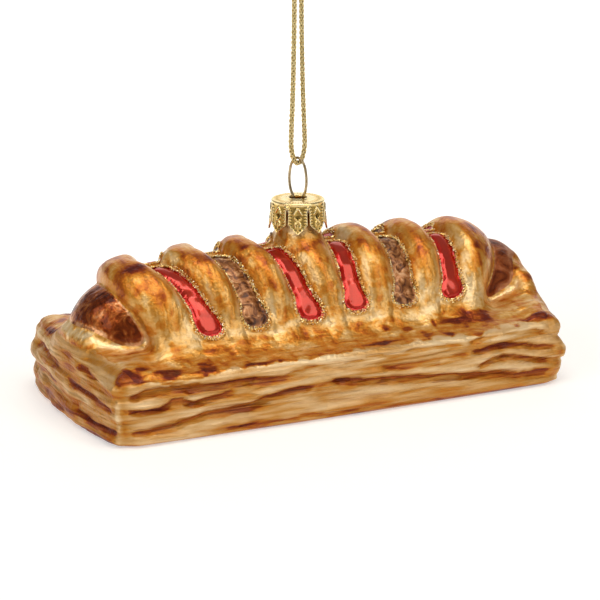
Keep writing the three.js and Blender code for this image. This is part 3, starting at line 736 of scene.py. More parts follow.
def pastry_lacquer():
    """Pearly lacquers sprayed and brushed by hand on silvered glass, from cream to burnt brown.
    They are satin and a little metallic, and they pool brown in what the mould left low. The dark
    line along each crease's top edge is painted shadow, the slab's browner ends painted shade and
    its paler pinched corners a painted highlight."""
    made, tree, shader, place = material("pastry_lacquer")
    plan = {}
    for name, parts in (
        ("bakes", ("side_bake", "top_bake", "burnt")),
        ("edges", ("above", "stain", "dark")),
        ("zones", ("side", "over", "inward")),
    ):
        whole = node(tree, "Attribute", attribute_name=name)["Vector"]
        plan.update(zip(parts, node(tree, "SeparateXYZ", {0: whole})))
    arch = node(tree, "Attribute", attribute_name="arch")["Vector"]

    # Layers along the sides, brush marks along the lid, and round the strips
    grains = {}
    for name, at, sizes, detail in (
        ("streaks", place, (16, 16, 1.6), 1),
        ("strokes", place, (7, 7, 0.7), 2),
        ("lid", place, (5, 1.5, 2.4), 4),
        ("rib", arch, (2, 9, 5000), 2),
        ("blotches", place, (3.4, 3.4, 3.4), 3),
        ("fine", place, (0.9, 0.9, 0.7), 3),
    ):
        scales = [per_metre(size) for size in sizes]
        scaled = node(tree, "VectorMath", {0: at, 1: scales}, operation="MULTIPLY")[0]
        grains[name] = node(
            tree, "TexNoise", {"Vector": scaled, "Scale": 1, "Detail": detail, "Distortion": 0.25}
        )[0]

    # How brown the sides are
    streaks = node(
        tree, "MapRange",
        {"Value": grains["streaks"], "From Min": 0.25, "From Max": 0.75, "To Min": -0.14, "To Max": 0.14},
    )[0]
    veins = node(tree, "MapRange", {"Value": grains["streaks"], "From Min": 0.54, "From Max": 0.64})[0]
    strokes = node(tree, "Math", {0: grains["strokes"], 1: 0.5}, operation="SUBTRACT")[0]
    stained = node(tree, "Math", {0: strokes, 1: 1.1, 2: plan["stain"]}, operation="MULTIPLY_ADD")[0]
    stained = node(
        tree, "MapRange", {"Value": stained, "From Min": 0.25, "From Max": 0.65},
        interpolation_type="SMOOTHSTEP",
    )[0]
    side = plan["side_bake"]
    # The creases' dark line adds painted shadow under each overhanging layer.
    for share, amount in (
        (streaks, 1), (veins, 0.08), (strokes, 0.3), (stained, 0.2), (plan["dark"], 0.22),
    ):
        side = node(tree, "Math", {0: share, 1: amount, 2: side}, operation="MULTIPLY_ADD")[0]

    # How brown the top is
    calm = node(tree, "Math", {0: grains["rib"], 1: 0.85, 2: 0.08}, operation="MULTIPLY_ADD")[0]
    marks = node(tree, "Mix", {0: plan["over"], 2: grains["lid"], 3: calm})[0]
    marks = node(
        tree, "MapRange",
        {"Value": marks, "From Min": 0.25, "From Max": 0.75, "To Min": -0.21, "To Max": 0.21},
    )[0]
    spots = node(
        tree, "MapRange",
        {"Value": grains["blotches"], "From Min": 0.5, "From Max": 0.64, "To Max": 0.2},
    )[0]
    specks = node(tree, "Math", {0: grains["fine"], 1: 0.2, 2: -0.1}, operation="MULTIPLY_ADD")[0]
    ragged = node(tree, "Math", {0: grains["blotches"], 1: 1.6, 2: -0.8}, operation="MULTIPLY_ADD")[0]
    above = node(tree, "Math", {0: plan["above"], 1: ragged}, operation="ADD")[0]
    border = node(tree, "MapRange", {"Value": above, "From Min": 0.9, "From Max": 0.1, "To Max": 0.12})[0]
    top = plan["top_bake"]
    for share in (marks, spots, specks, border):
        top = node(tree, "Math", {0: top, 1: share}, operation="ADD")[0]

    # Both together, and burnt patches with a browned rim. The washed top is a yellower gold.
    on_top = node(tree, "MapRange", {"Value": above, "From Min": -0.2, "From Max": 0.15})[0]
    brown = node(tree, "Mix", {0: on_top, 2: side, 3: top})[0]
    rough_edge = node(tree, "Math", {0: grains["lid"], 1: 0.5}, operation="SUBTRACT")[0]
    burnt = node(tree, "Math", {0: plan["burnt"], 1: rough_edge}, operation="ADD")[0]
    for low, high, amount in ((-0.8, 0.1, 0.16), (-0.25, 0.5, 0.32)):
        patch = node(
            tree, "MapRange",
            {"Value": burnt, "From Min": low, "From Max": high, "To Max": amount},
            interpolation_type="SMOOTHSTEP",
        )[0]
        brown = node(tree, "Math", {0: brown, 1: patch}, operation="ADD")[0]
    bisque = node(tree, "ValToRGB", {"Fac": brown}, stops=BAKED_SIDE)[0]
    golden = node(tree, "ValToRGB", {"Fac": brown}, stops=BAKED_TOP)[0]
    colour = node(tree, "Mix", {0: on_top, 6: bisque, 7: golden}, data_type="RGBA")[2]

    # The sausage's ends: thin copper lacquer with cloudy dabs, bright where it has run to the edge,
    # and a duller brown on the right one
    dome = node(tree, "Attribute", attribute_name="dome")["Fac"]
    on_dome = node(tree, "MapRange", {"Value": dome, "From Min": 0.1, "From Max": 0.2})[0]
    cloud = node(
        tree, "TexNoise",
        {"Vector": place, "Scale": per_metre(4.5), "Detail": 5, "Distortion": 1.2},
    )[0]
    rim = node(tree, "MapRange", {"Value": dome, "From Min": 0.75, "From Max": 0.45, "To Max": 0.16})[0]
    cloud = node(tree, "Math", {0: cloud, 1: rim}, operation="ADD")[0]
    copper = node(tree, "ValToRGB", {"Fac": cloud}, stops=COPPER)[0]
    dull = node(tree, "ValToRGB", {"Fac": cloud}, stops=DULL_COPPER)[0]
    lengthwise = node(tree, "SeparateXYZ", {0: place})[0]
    right = node(tree, "Math", {0: lengthwise, 1: 0}, operation="GREATER_THAN")[0]
    copper = node(tree, "Mix", {0: right, 6: copper, 7: dull}, data_type="RGBA")[2]
    colour = node(tree, "Mix", {0: on_dome, 6: colour, 7: copper}, data_type="RGBA")[2]
    metallic = node(tree, "Mix", {0: on_dome, 2: 0.55, 3: 0.8})[0]

    # Relief in millimetres: the creases' sharp lines, and brush marks
    ripples = streaks
    for share, amount in ((veins, -0.1), (strokes, -0.14)):
        ripples = node(tree, "Math", {0: share, 1: amount, 2: ripples}, operation="MULTIPLY_ADD")[0]
    ripples = node(tree, "Math", {0: ripples, 1: plan["side"]}, operation="MULTIPLY")[0]
    relief = node(tree, "Math", {0: marks, 1: 0.5}, operation="MULTIPLY")[0]
    for share, amount in (
        (plan["stain"], -0.2), (plan["dark"], -0.35), (ripples, 2.8), (grains["fine"], 0.2),
    ):
        relief = node(tree, "Math", {0: share, 1: amount, 2: relief}, operation="MULTIPLY_ADD")[0]
    bump = node(tree, "Bump", {"Height": relief, "Strength": 0.95, "Distance": MM})[0]

    # The sides and the right dome are the duller ones.
    rough = node(tree, "MapRange", {"Value": grains["blotches"], "To Min": 0.26, "To Max": 0.42})[0]
    matt = node(tree, "Math", {0: on_dome, 1: right}, operation="MULTIPLY")[0]
    for share, amount in ((plan["side"], 0.16), (matt, 0.2)):
        rough = node(tree, "Math", {0: share, 1: amount, 2: rough}, operation="MULTIPLY_ADD")[0]
    fill(tree, shader, {
        "Base Color": colour, "Metallic": metallic, "Roughness": rough, "Normal": bump,
        "Specular IOR Level": 0.25, "Coat Weight": 0.15, "Coat Roughness": 0.1,
    })
    return made


def brown_lacquer():
    """Brown lacquers swirled together with a brush over silver: a soft metallic sheen."""
    made, tree, shader, place = material("brown_lacquer")
    swirl = node(
        tree, "TexNoise",
        {"Vector": place, "Scale": per_metre(2.6), "Detail": 4, "Distortion": 1.6},
    )[0]
    cloud = node(tree, "TexNoise", {"Vector": place, "Scale": per_metre(5), "Detail": 2})[0]
    both = node(tree, "Math", {0: swirl, 1: 1.3, 2: -0.15}, operation="MULTIPLY_ADD")[0]
    both = node(tree, "Mix", {0: 0.3, 2: both, 3: cloud})[0]
    colour = node(
        tree, "ValToRGB", {"Fac": both},
        stops=[(0.36, "#42200c"), (0.45, "#74421c"), (0.55, "#a0683a"), (0.67, "#d0a074")],
    )[0]
    bump = node(tree, "Bump", {"Height": swirl, "Strength": 0.6, "Distance": 0.5 * MM})[0]
    fill(tree, shader, {
        "Base Color": colour, "Normal": bump, "Metallic": 0.5, "Roughness": 0.36,
        "Specular IOR Level": 0.25, "Coat Weight": 0.2, "Coat Roughness": 0.1,
    })
    return made


def clear_red_lacquer():
    """Clear red lacquer over silvered glass: pooled dark at its edges, under a hard gloss."""
    made, tree, shader, place = material("clear_red_lacquer")
    zones = node(tree, "Attribute", attribute_name="zones")["Vector"]
    inward = node(tree, "SeparateXYZ", {0: zones})[2]
    thick = node(tree, "TexNoise", {"Vector": place, "Scale": per_metre(3), "Detail": 2})[0]
    thin = node(tree, "Math", {0: thick, 1: 2.4, 2: -1.2}, operation="MULTIPLY_ADD")[0]
    thin = node(tree, "Math", {0: inward, 1: thin}, operation="ADD")[0]
    share = node(tree, "MapRange", {"Value": thin, "From Min": 0.3, "From Max": 2.2})[0]
    colour = node(
        tree, "ValToRGB", {"Fac": share},
        stops=[(0, "#960803"), (0.35, "#c01808"), (1, "#b03220")],
    )[0]
    fill(tree, shader, {
        "Base Color": colour, "Metallic": 0.5, "Roughness": 0.2,
        "Specular IOR Level": 0.1, "Coat Weight": 0.5, "Coat Roughness": 0.02,
    })
    return made


def glitter_gold():
    """Gold-coloured glitter: each grain is a tiny mirror, some darker with the glue."""
    made, tree, shader, _ = material("glitter_gold")
    grain = node(tree, "VertexColor", layer_name="grain")["Color"]
    fill(tree, shader, {"Base Color": grain, "Metallic": 0.7, "Roughness": 0.3})
    return made


def stamped_gold():
    """Thin stamped metal with a gold lacquer, with painted light that follows the relief: painted shade,
    dull olive, in what is pressed in, and a painted highlight, bright, on the rest.
    """
    made, tree, shader, place = material("stamped_gold")
    raised = node(tree, "Attribute", attribute_name="raised")["Fac"]
    worn = node(tree, "TexNoise", {"Vector": place, "Scale": per_metre(1.2), "Detail": 3})[0]
    worn = node(tree, "Math", {0: worn, 1: 0.5, 2: -0.25}, operation="MULTIPLY_ADD")[0]
    # Painted light follows the relief: painted highlight where raised, painted shade where pressed in, with
    # random wear added.
    worn = node(tree, "Math", {0: raised, 1: worn}, operation="ADD")[0]
    colour = node(
        tree, "ValToRGB", {"Fac": worn},
        stops=[(0.05, "#6a5426"), (0.3, "#c4a258"), (0.6, "#efca7c"), (0.9, "#fff0bc")],
    )[0]
    fill(tree, shader, {"Base Color": colour, "Metallic": 1, "Roughness": 0.26})
    return made


def drawn_wire():
    """Drawn wire plated pale gold, a little worn in places."""
    made, tree, shader, place = material("drawn_wire")
    worn = node(tree, "TexNoise", {"Vector": place, "Scale": per_metre(0.8), "Detail": 3})[0]
    colour = node(tree, "ValToRGB", {"Fac": worn}, stops=[(0.3, "#8f7a58"), (0.7, "#c6b08a")])[0]
    fill(tree, shader, {"Base Color": colour, "Metallic": 1, "Roughness": 0.28})
    return made


def metallised_thread():
    """Gold film wound on thread, plaited: shiny yarns over a core painted dark as the shade between them."""
    made, tree, shader, place = material("metallised_thread")
    wound = node(tree, "TexNoise", {"Vector": place, "Scale": per_metre(0.35), "Detail": 2})[0]
    core = node(tree, "Attribute", attribute_name="core")["Fac"]
    # The core is painted dark: painted shade in the gaps between the yarns.
    wound = node(tree, "Math", {0: wound, 1: core}, operation="SUBTRACT")[0]
    colour = node(
        tree, "ValToRGB", {"Fac": wound},
        stops=[(0, "#2a2008"), (0.3, "#c2a45c"), (0.7, "#fff0bc")],
    )[0]
    fill(tree, shader, {"Base Color": colour, "Metallic": 0.9, "Roughness": 0.3})
    return made


# Glitter

GRAIN_SIZES = (0.36, 0.54)
GRAIN_STRETCHES = (0.7, 1.25)
GRAIN_LIFT = 0.12  # at most this much over the raised line
GRAIN_SPACING, GRAIN_ROWS = 0.4, 4
LINE_HALF_WIDTH = 0.55
UPPER_LINE_SHARE, UPPER_LINE_SPAN = 0.5, (0.2, 0.7)  # the line is narrower from these angles up
GRAIN_GOLDS = ["#fff0b4", "#ffe094", "#f4c464", "#9c6824", "#fff8dc"]
GOLD_SHARES = [0.24, 0.28, 0.22, 0.16, 0.1]
SIGHT_DISTANCE, SIGHT_STEPS = 40, 60
OCTAHEDRON = [[1, 0, 0], [-1, 0, 0], [0, 1, 0], [0, -1, 0], [0, 0, 1], [0, 0, -1]]
OCTAHEDRON_FACES = [
    [0, 2, 4], [2, 1, 4], [1, 3, 4], [3, 0, 4], [2, 0, 5], [1, 2, 5], [3, 1, 5], [0, 3, 5],
]


def on_glass(points, directions):
    """Where lines of sight towards the body meet its plain surface."""
    reach = np.zeros(len(points))
    for _ in range(SIGHT_STEPS):
        reach = reach + 0.5 * glass(*(points + directions * reach[:, None]).T)
    return points + directions * reach[:, None]


def window_line(gap, side):
    """Points of a window's outline: each has its place along the roll and its angle up the arch."""
    turns = np.linspace(0, 2 * math.pi, 720, endpoint=False)
    angle = lerp(GAP_STARTS[gap], GAP_TOP, (1 - np.cos(turns)) / 2)
    from_end = ARCH_AXIS * np.minimum(angle - GAP_STARTS[gap], GAP_TOP - angle)
    fullness = np.sqrt(1 - (1 - np.minimum(1, from_end / GAP_HALF_WIDTH)) ** 2)
    across = np.sign(math.pi - turns) * gap_half(angle) * fullness
    shift = BACK_SHIFT if side > 0 else 0
    return gap_middle(gap, angle) + across + shift, angle


def grain_places(rng):
    """Scattered places near the windows' outlines: along the roll, round the arch, and the side."""
    found = []
    for gap in range(len(GAP_FEET)):
        for side in (-1, 1):
            x, angle = window_line(gap, side)
            arc = angle * ARCH_AXIS
            length = lengths_along(np.stack([x, arc], axis=1))
            count = int(length[-1] / GRAIN_SPACING)
            for row in range(GRAIN_ROWS):
                at = (np.arange(count) + rng.uniform(0, 1, count)) * length[-1] / count
                near_x, near_arc = np.interp(at, length, x), np.interp(at, length, arc)
                ahead_x = np.interp(at + 0.1, length, x) - near_x
                ahead_arc = np.interp(at + 0.1, length, arc) - near_arc
                long = np.hypot(ahead_x, ahead_arc) + 1e-9
                upper = smoothstep(near_arc / ARCH_AXIS, *UPPER_LINE_SPAN)
                half = LINE_HALF_WIDTH * lerp(1, UPPER_LINE_SHARE, upper)
                off = half * (2 * (row + rng.uniform(0, 1, count)) / GRAIN_ROWS - 1)
                found.append((
                    near_x - off * ahead_arc / long, near_arc + off * ahead_x / long, np.full(count, side)
                ))
    return (np.concatenate(parts) for parts in zip(*found))


def glitter():
    """Grains of glitter glued in a raised line round every window."""
    rng = np.random.default_rng(5)
    x, arc, side = grain_places(rng)
    angle = arc / ARCH_AXIS
    zero = np.zeros_like(x)
    out = np.stack([zero, side * np.cos(angle), np.sin(angle)], axis=1)
    points = on_glass(np.stack([x, zero, zero + ARCH_AXIS], axis=1) + SIGHT_DISTANCE * out, -out)
    count = len(points)
    rise = unit(slopes(points)[1])
    distance, _ = windows(*points.T)
    lift = LINE_HEIGHT * bell(distance, LINE_SPREAD) + rng.uniform(0, GRAIN_LIFT, count)
    points = points + rise * lift[:, None]
    turn = np.linalg.qr(rng.normal(size=(count, 3, 3)))[0]
    turn[np.linalg.det(turn) < 0] *= -1
    size = rng.uniform(*GRAIN_SIZES, count) / 2
    corners = np.array(OCTAHEDRON, float)[None] * rng.uniform(*GRAIN_STRETCHES, (count, 1, 3))
    grains = corners @ turn * size[:, None, None] + points[:, None, :]
    faces = np.array(OCTAHEDRON_FACES)[None] + len(OCTAHEDRON) * np.arange(count)[:, None, None]
    made = mesh_piece(
        "window_glitter", grains.reshape(-1, 3), faces.reshape(-1, 3).tolist(), smooth=False
    )
    golds = np.array([[*linear(colour), 1] for colour in GRAIN_GOLDS])
    picked = golds[rng.choice(len(golds), count, p=GOLD_SHARES)]
    attribute = made.data.color_attributes.new("grain", "FLOAT_COLOR", "POINT")
    colours = np.repeat(picked, len(OCTAHEDRON), axis=0)
    attribute.data.foreach_set("color", colours.ravel().astype(np.float32))
    shown(made, glitter_gold())


# Tubes along smooth lines


def smooth_route(points, steps):
    """A smooth line through points, as evenly spaced points."""
    points = np.array(points, float)
    ends = np.concatenate([[2 * points[0] - points[1]], points, [2 * points[-1] - points[-2]]])
    fine = []
    for a, b, c, d in zip(ends, ends[1:], ends[2:], ends[3:]):
        for t in np.linspace(0, 1, 24, endpoint=False):
            bend = 2 * b + (c - a) * t + (2 * a - 5 * b + 4 * c - d) * t**2
            fine.append(0.5 * (bend + (3 * b - a - 3 * c + d) * t**3))
    fine = np.array(fine + [points[-1]])
    length = lengths_along(fine)
    at = np.linspace(0, length[-1], steps + 1)
    return np.stack([np.interp(at, length, fine[:, i]) for i in range(3)], axis=1)


def crosswise(route):
    """Two directions across the route at each point, without a twist, and the one along it."""
    ahead = unit(np.gradient(route, axis=0))
    across = np.cross(ahead[0], [0.3, 1, 0.2])
    firsts = []
    for direction in ahead:
        across = across - direction * np.dot(across, direction)
        across = across / np.linalg.norm(across)
        firsts.append(across)
    firsts = np.array(firsts)
    return firsts, np.cross(ahead, firsts), ahead


def swept(route, half_width, half_height, sides, wide=None):
    """Points and faces of a closed tube of oval section. `wide` gives its broad direction."""
    firsts, seconds, ahead = crosswise(route)
    if wide is not None:
        firsts = wide
        seconds = np.cross(ahead, firsts)
    turns = np.linspace(0, 2 * math.pi, sides, endpoint=False)
    rings = (
        route[:, None, :]
        + half_width * np.cos(turns)[None, :, None] * firsts[:, None, :]
        + half_height * np.sin(turns)[None, :, None] * seconds[:, None, :]
    )
    faces = []
    for ring in range(0, (len(route) - 1) * sides, sides):
        for j in range(sides):
            k = (j + 1) % sides
            faces.append((ring + j, ring + k, ring + sides + k, ring + sides + j))
    faces.append(tuple(range(sides))[::-1])
    faces.append(tuple((len(route) - 1) * sides + j for j in range(sides)))
    return rings.reshape(-1, 3), faces


def joined(parts):
    points, faces = [], []
    for part_points, part_faces in parts:
        base = sum(len(p) for p in points)
        points.append(part_points)
        faces += [tuple(base + v for v in face) for face in part_faces]
    return np.concatenate(points), faces


# Cord

YARNS_EACH_WAY = 4
PLAIT_TURN = 5.2  # length in which a yarn goes once round the cord
YARN_HALF_WIDTH, YARN_HALF_HEIGHT, YARN_WEAVE = 0.2, 0.14, 0.09
CORE_RADIUS = 0.62 * CORD_DIAMETER / 2


def plaited(route):
    """Eight flat yarns plaited round a core along the route, with the core's points marked."""
    firsts, seconds, _ = crosswise(route)
    length = lengths_along(route)
    parts = []
    for way in (-1, 1):
        for yarn in range(YARNS_EACH_WAY):
            turn = way * 2 * math.pi * length / PLAIT_TURN + 2 * math.pi * yarn / YARNS_EACH_WAY
            crossing = math.pi * (YARNS_EACH_WAY * length / PLAIT_TURN + yarn)
            weave = YARN_WEAVE * (way * np.cos(crossing) - 1)
            middle = CORD_DIAMETER / 2 - YARN_HALF_HEIGHT + weave
            out = np.cos(turn)[:, None] * firsts + np.sin(turn)[:, None] * seconds
            line = route + out * middle[:, None]
            wide = unit(np.cross(out, unit(np.gradient(line, axis=0))))
            parts.append(swept(line, YARN_HALF_WIDTH, YARN_HALF_HEIGHT, 6, wide))
    parts.append(swept(route, CORE_RADIUS, CORE_RADIUS, 8))
    points, faces = joined(parts)
    return points, faces, np.arange(len(points)) >= len(points) - len(parts[-1][0])


def cord_route(side):
    middle = lerp(CORD_SPREAD, CORD_AT_KNOT, 0.55)
    upper = lerp(CORD_SPREAD, CORD_AT_KNOT, 0.9)
    route = [
        (0.02, CORD_BOTTOM), (0.5, CORD_BOTTOM + 0.04), (0.95, CORD_BOTTOM + 0.5),
        (1.3, CORD_BOTTOM + 1.4), (CORD_SPREAD - 0.1, CORD_BOTTOM + 3.4),
        (CORD_SPREAD, CORD_BOTTOM + 6.5), (middle, 76), (upper, 90),
        (CORD_AT_KNOT, KNOT_HEIGHT - KNOT_RADIUS - KNOT_GAP),
    ]
    return [(side * x, 0, z) for x, z in route]


def cord_piece(name, parts, thread):
    """A plaited piece, with the points of each part's core marked."""
    made = shown(mesh_piece(name, *joined([(points, faces) for points, faces, _ in parts])), thread)
    mark(made, "core", np.concatenate([core for _, _, core in parts]))
    return made


def cord_knot(thread):
    """The strands tied in an overhand knot, with two short cut tails."""
    ring = np.linspace(0, 2 * math.pi, 90)
    trefoil = np.stack(
        [
            0.42 * (np.sin(ring) + 2 * np.sin(2 * ring)),
            0.42 * (np.cos(ring) - 2 * np.cos(2 * ring)),
            KNOT_HEIGHT - 1.2 * np.sin(3 * ring),
        ],
        axis=1,
    )
    parts = [plaited(trefoil)]
    for side in (-1, 1):
        tail = [
            (side * 0.5, 0, KNOT_HEIGHT), (side * 1.1, 0, KNOT_HEIGHT + TAIL_LENGTH * 0.5),
            (side * 2.4, side * 0.6, KNOT_HEIGHT + TAIL_LENGTH),
        ]
        parts.append(plaited(smooth_route(tail, 50)))
    return cord_piece("cord_knot_tied", parts, thread)


def cords():
    """Both strands of the doubled cord and the knot that closes it."""
    thread = metallised_thread()
    knot = cord_knot(thread)
    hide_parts("cord_knot")
    for side, name in ((-1, "left"), (1, "right")):
        route = smooth_route(cord_route(side), 300)
        strand = cord_piece(f"cord_strand_{name}", [plaited(route)], thread)
        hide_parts(f"cord_{name}")


def hanger_wire():
    """One wire bent into a loop, whose legs spring apart under the cap's disc."""
    leg_foot = CAP_TOP - CAP_WALL - WIRE_RADIUS - WIRE_GAP
    in_hole = HOLE_RADIUS - WIRE_RADIUS - WIRE_GAP
    half = [
        (LEG_SPREAD, leg_foot - LEG_DROP), (in_hole + 0.9, leg_foot - 0.2), (in_hole - 0.1, CAP_TOP),
        (LOOP_HALF_WIDTH * 0.88, CAP_TOP + 2.2), (LOOP_HALF_WIDTH, LOOP_WIDEST),
        (LOOP_HALF_WIDTH * 0.82, LOOP_TOP - 2.2), (LOOP_HALF_WIDTH * 0.45, LOOP_TOP - 0.55),
    ]
    line = half + [(0, LOOP_TOP)] + [(-x, z) for x, z in reversed(half)]
    turned = [(x * math.cos(LOOP_TURN), x * math.sin(LOOP_TURN), z) for x, z in line]
    tube = swept(smooth_route(turned, 160), WIRE_RADIUS, WIRE_RADIUS, 16)
    wire = shown(mesh_piece("wire_loop", *tube), drawn_wire())
    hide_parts("hanger_wire")


# Cap

PETAL_COLUMNS, PETAL_ROWS = 36, 46
PETAL_INSET = 0.12  # the pressed-in parts of a petal lie this far in
EYE_DOWN = 3  # from the disc's edge to the ringed dot of a petal
# From the hole's edge out over its lip and across the disc: radius and height
DISC_PROFILE = [
    (HOLE_RADIUS, CAP_TOP - 0.25), (HOLE_RADIUS - 0.02, CAP_TOP + 0.1),
    (HOLE_RADIUS + 0.12, CAP_TOP + 0.3), (HOLE_RADIUS + 0.3, CAP_TOP + LIP_HEIGHT),
    (HOLE_RADIUS + LIP_WIDTH, CAP_TOP + 0.28), (HOLE_RADIUS + 0.85, CAP_TOP + 0.1),
    (HOLE_RADIUS + 1.2, CAP_TOP), (4.2, CAP_TOP), (4.8, CAP_TOP), (5.2, CAP_TOP), (5.6, CAP_TOP),
    (5.95, CAP_TOP), (6.25, CAP_TOP - 0.01), (6.45, CAP_TOP - 0.07), (6.6, CAP_TOP - 0.2),
    (6.7, CAP_TOP - 0.36),
]
FLUTES, FLUTE_DEPTH = 44, 0.1
FLUTE_STARTS, FLUTE_ENDS = (4.4, 5), (5.7, 6.2)
PLAIN_HEIGHT = 0.75  # how bright the plain metal is on a scale of painted light, from 0, painted shade where pressed in, to 1, a painted highlight where raised


def stroke(u, v, points, width):
    """Height of a raised line through points of the petal, 1 on its middle."""
    best = np.full_like(u, 1e9)
    for (ax, ay), (bx, by) in zip(points, points[1:]):
        dx, dy = bx - ax, by - ay
        share = np.clip(((u - ax) * dx + (v - ay) * dy) / (dx * dx + dy * dy), 0, 1)
        best = np.minimum(best, np.hypot(u - ax - share * dx, v - ay - share * dy))
    return bell(best, width)


def petal_relief(u, v, half):
    """Stamped pattern of one petal, across it and down it from the disc's edge."""
    across = np.abs(u)
    from_edge = half - across
    from_eye = np.hypot(u, v - EYE_DOWN)
    rim = 0.24 * bell(from_edge - 0.22, 0.16)
    beads = 0.2 * bell(from_edge - 0.62, 0.2) * (0.5 + 0.5 * np.cos(2 * math.pi * v / 0.72))
    leaf = 0.26 * stroke(across, v, [(0.05, 0.7), (0.45, 1.3), (1.05, 2.2)], 0.17)
    ring = 0.2 * bell(from_eye - 0.75, 0.17) * (v > 2.9)
    lower = 0.22 * stroke(across, v, [(0.25, 4.1), (0.75, 4.6), (0.55, 5.4)], 0.16)
    stem = 0.16 * stroke(across, v, [(0, 4.6), (0, 6.2)], 0.14)
    dot = 0.24 * bell(from_eye, 0.42)
    return (rim + beads + leaf + ring + lower + stem - dot) * smoothstep(v, 0.2, 0.5)


def round_points(radius, turn, z):
    return np.stack([radius * np.cos(turn), radius * np.sin(turn), z + 0 * turn], axis=-1)


def cap():
    """The stamped cap: a fluted disc with a lipped hole, and eight embossed petals."""
    half_turn = math.pi / PETALS
    start = CAP_TURN - math.pi / 2 - half_turn
    around = PETALS * PETAL_COLUMNS
    turn = start + 2 * math.pi * np.arange(around) / around
    points, faces, heights = [], [], []
    for radius, z in DISC_PROFILE:
        share = smoothstep(radius, *FLUTE_STARTS) * (1 - smoothstep(radius, *FLUTE_ENDS))
        flutes = FLUTE_DEPTH * share * (0.5 + 0.5 * np.cos(FLUTES * turn))
        points.append(round_points(radius, turn, z - flutes))
        # The flutes' grooves get painted shade.
        heights.append(PLAIN_HEIGHT - 4 * flutes)
    last_ring = (len(DISC_PROFILE) - 1) * around
    for a in range(0, last_ring, around):
        for i in range(around):
            j = (i + 1) % around
            faces.append((a + i, a + around + i, a + around + j, a + j))

    # The petals hang from the disc's last ring.
    top = CAP_TOP - CAP_EDGE
    z = np.linspace(top, PETAL_TIP, PETAL_ROWS + 1)[:, None]
    radius = lerp(CAP_RADIUS, CAP_RADIUS + CAP_SPREAD, (top - z) / (top - PETAL_TIP))
    full = radius * half_turn
    slit = np.where(z < SLOT_TOP, full - SLOT_WIDTH / 2, full)
    narrowing = np.clip((PETAL_SHOULDER - z) / (PETAL_SHOULDER - PETAL_TIP), 0, 1) ** 1.1
    half = lerp(slit, TIP_HALF_WIDTH, narrowing)
    u = np.linspace(-1, 1, PETAL_COLUMNS + 1)[None, :] * half
    down = top - z + 0 * u
    out = petal_relief(u, down, half)
    # Brightness follows the petal's relief: painted highlight where raised, painted shade where pressed in.
    height = lerp(0.22 + 3.2 * out, PLAIN_HEIGHT, 1 - smoothstep(down, 0.15, 0.6))
    width = PETAL_COLUMNS + 1
    for petal in range(PETALS):
        middle = start + half_turn + petal * 2 * half_turn
        points.append(round_points(radius + out - PETAL_INSET, middle + u / radius, z).reshape(-1, 3))
        heights.append(height.ravel())
        first = last_ring + around + petal * (PETAL_ROWS + 1) * width
        for column in range(PETAL_COLUMNS):
            at = last_ring + petal * PETAL_COLUMNS + column
            after = last_ring + (petal * PETAL_COLUMNS + column + 1) % around
            faces.append((at, first + column, first + column + 1, after))
            for a in range(first + column, first + column + PETAL_ROWS * width, width):
                faces.append((a, a + width, a + width + 1, a + 1))
    made = mesh_piece("stamped_cap", np.concatenate(points), faces)
    mark(made, "raised", np.concatenate(heights))

    # The petals are whole down to their slits: equal points there become one.
    shape = bmesh.new()
    shape.from_mesh(made.data)
    bmesh.ops.remove_doubles(shape, verts=shape.verts, dist=0.01 * MM)
    shape.to_mesh(made.data)
    shape.free()
    shown(made, stamped_gold())
    thick = made.modifiers.new("wall", "SOLIDIFY")
    thick.thickness = (CAP_WALL - 0.1) * MM
    thick.offset = -1
    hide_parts("cap")


# Stage, in metres

FLOOR_HALF = 4
LIGHTS_AIM = Vector((0, 0, 0.03))
# Each light's turn to the right of the roll's front and its rise, both in degrees, and then its
# distance, width, height and power
LIGHTS = {
    "softbox_right": (28, 38, 0.95, 0.3, 1, 2.5),
    "softbox_left": (-72, 34, 1.0, 0.36, 0.8, 2.6),
    "softbox_top": (-20, 80, 1.0, 0.7, 0.6, 5),
    "backdrop": (154, 24, 1.2, 1.4, 0.9, 4),
}


def towards(turn, rise):
    """The direction from the roll at a turn to the right of its front and a rise above it."""
    return Vector((math.sin(turn) * math.cos(rise), -math.cos(turn) * math.cos(rise), math.sin(rise)))


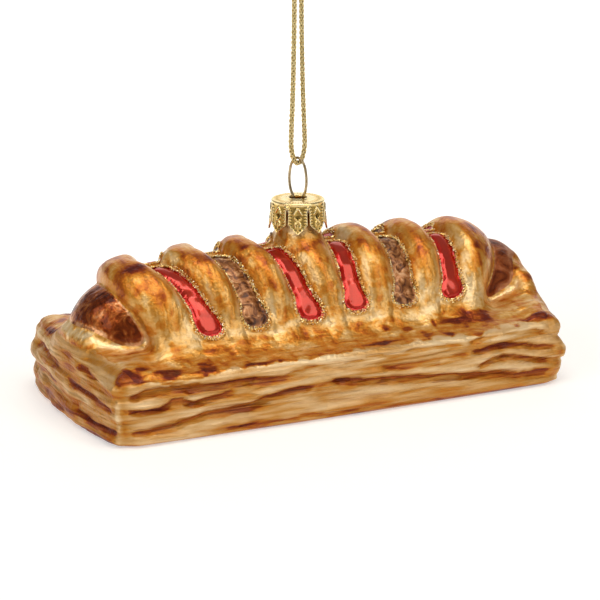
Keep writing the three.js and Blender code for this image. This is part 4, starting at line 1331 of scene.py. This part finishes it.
def soft_light(name, turn, rise, distance, width, height, power):
    """A softbox that faces the roll."""
    light = bpy.data.lights.new(name, "AREA")
    light.shape = "RECTANGLE"
    light.size, light.size_y = width, height
    light.energy = power
    light.color = linear("#fffcf6")
    placed = in_scene(name, light)
    back = towards(math.radians(turn), math.radians(rise))
    tall = Vector((0, back.z, -back.y)).normalized()
    placed.location = LIGHTS_AIM + back * distance
    placed.rotation_mode = "QUATERNION"
    placed.rotation_quaternion = Matrix((tall.cross(back), tall, back)).transposed().to_quaternion()


def stage():
    corners = [(-FLOOR_HALF, -FLOOR_HALF, 0), (FLOOR_HALF, -FLOOR_HALF, 0)]
    corners += [(-x, -y, z) for x, y, z in corners]
    floor_mesh = bpy.data.meshes.new("floor")
    floor_mesh.from_pydata(corners, [], [(0, 1, 2, 3)])
    floor = in_scene("floor", floor_mesh)
    made, tree, shader, place = material("pale_floor")
    # A light table shines from under it, faintly near the roll and brighter far behind.
    back = node(tree, "SeparateXYZ", {0: place})[1]
    near, far = (
        node(
            tree, "MapRange", {"Value": back, "From Min": low, "From Max": high, "To Max": glow},
            interpolation_type="SMOOTHSTEP",
        )[0]
        for low, high, glow in ((-0.34, -0.2, 0.46), (0.02, 0.4, 0.55))
    )
    glow = node(tree, "Math", {0: near, 1: far}, operation="ADD")[0]
    fill(tree, shader, {
        "Base Color": (*linear("#d2cfca"), 1), "Roughness": 0.9,
        "Emission Strength": glow, "Emission Color": (1, 1, 1, 1),
    })
    floor_mesh.materials.append(made)
    world = bpy.data.worlds.new("studio")
    world.use_nodes = True
    fill(world.node_tree, world.node_tree.nodes["Background"], {"Color": (1, 1, 1, 1), "Strength": 0.2})
    bpy.context.scene.world = world
    for name, values in LIGHTS.items():
        soft_light(name, *values)


def camera():
    data = bpy.data.cameras.new("camera")
    data.lens = CAMERA_LENS
    data.sensor_width = 36
    data.shift_x, data.shift_y = CAMERA_SHIFT
    data.clip_start, data.clip_end = 0.01, 20
    eye = in_scene("camera", data)
    back = towards(CAMERA_TURN, CAMERA_RISE)
    eye.location = (Vector(CAMERA_TARGET) + back * CAMERA_DISTANCE) * MM
    eye.rotation_mode = "QUATERNION"
    eye.rotation_quaternion = back.to_track_quat("Z", "Y")
    bpy.context.scene.camera = eye


camera()
cords()
glass_body()
glitter()
cap()
hanger_wire()
stage()
view = bpy.context.scene.view_settings
view.view_transform = "Standard"
view.look = "None"
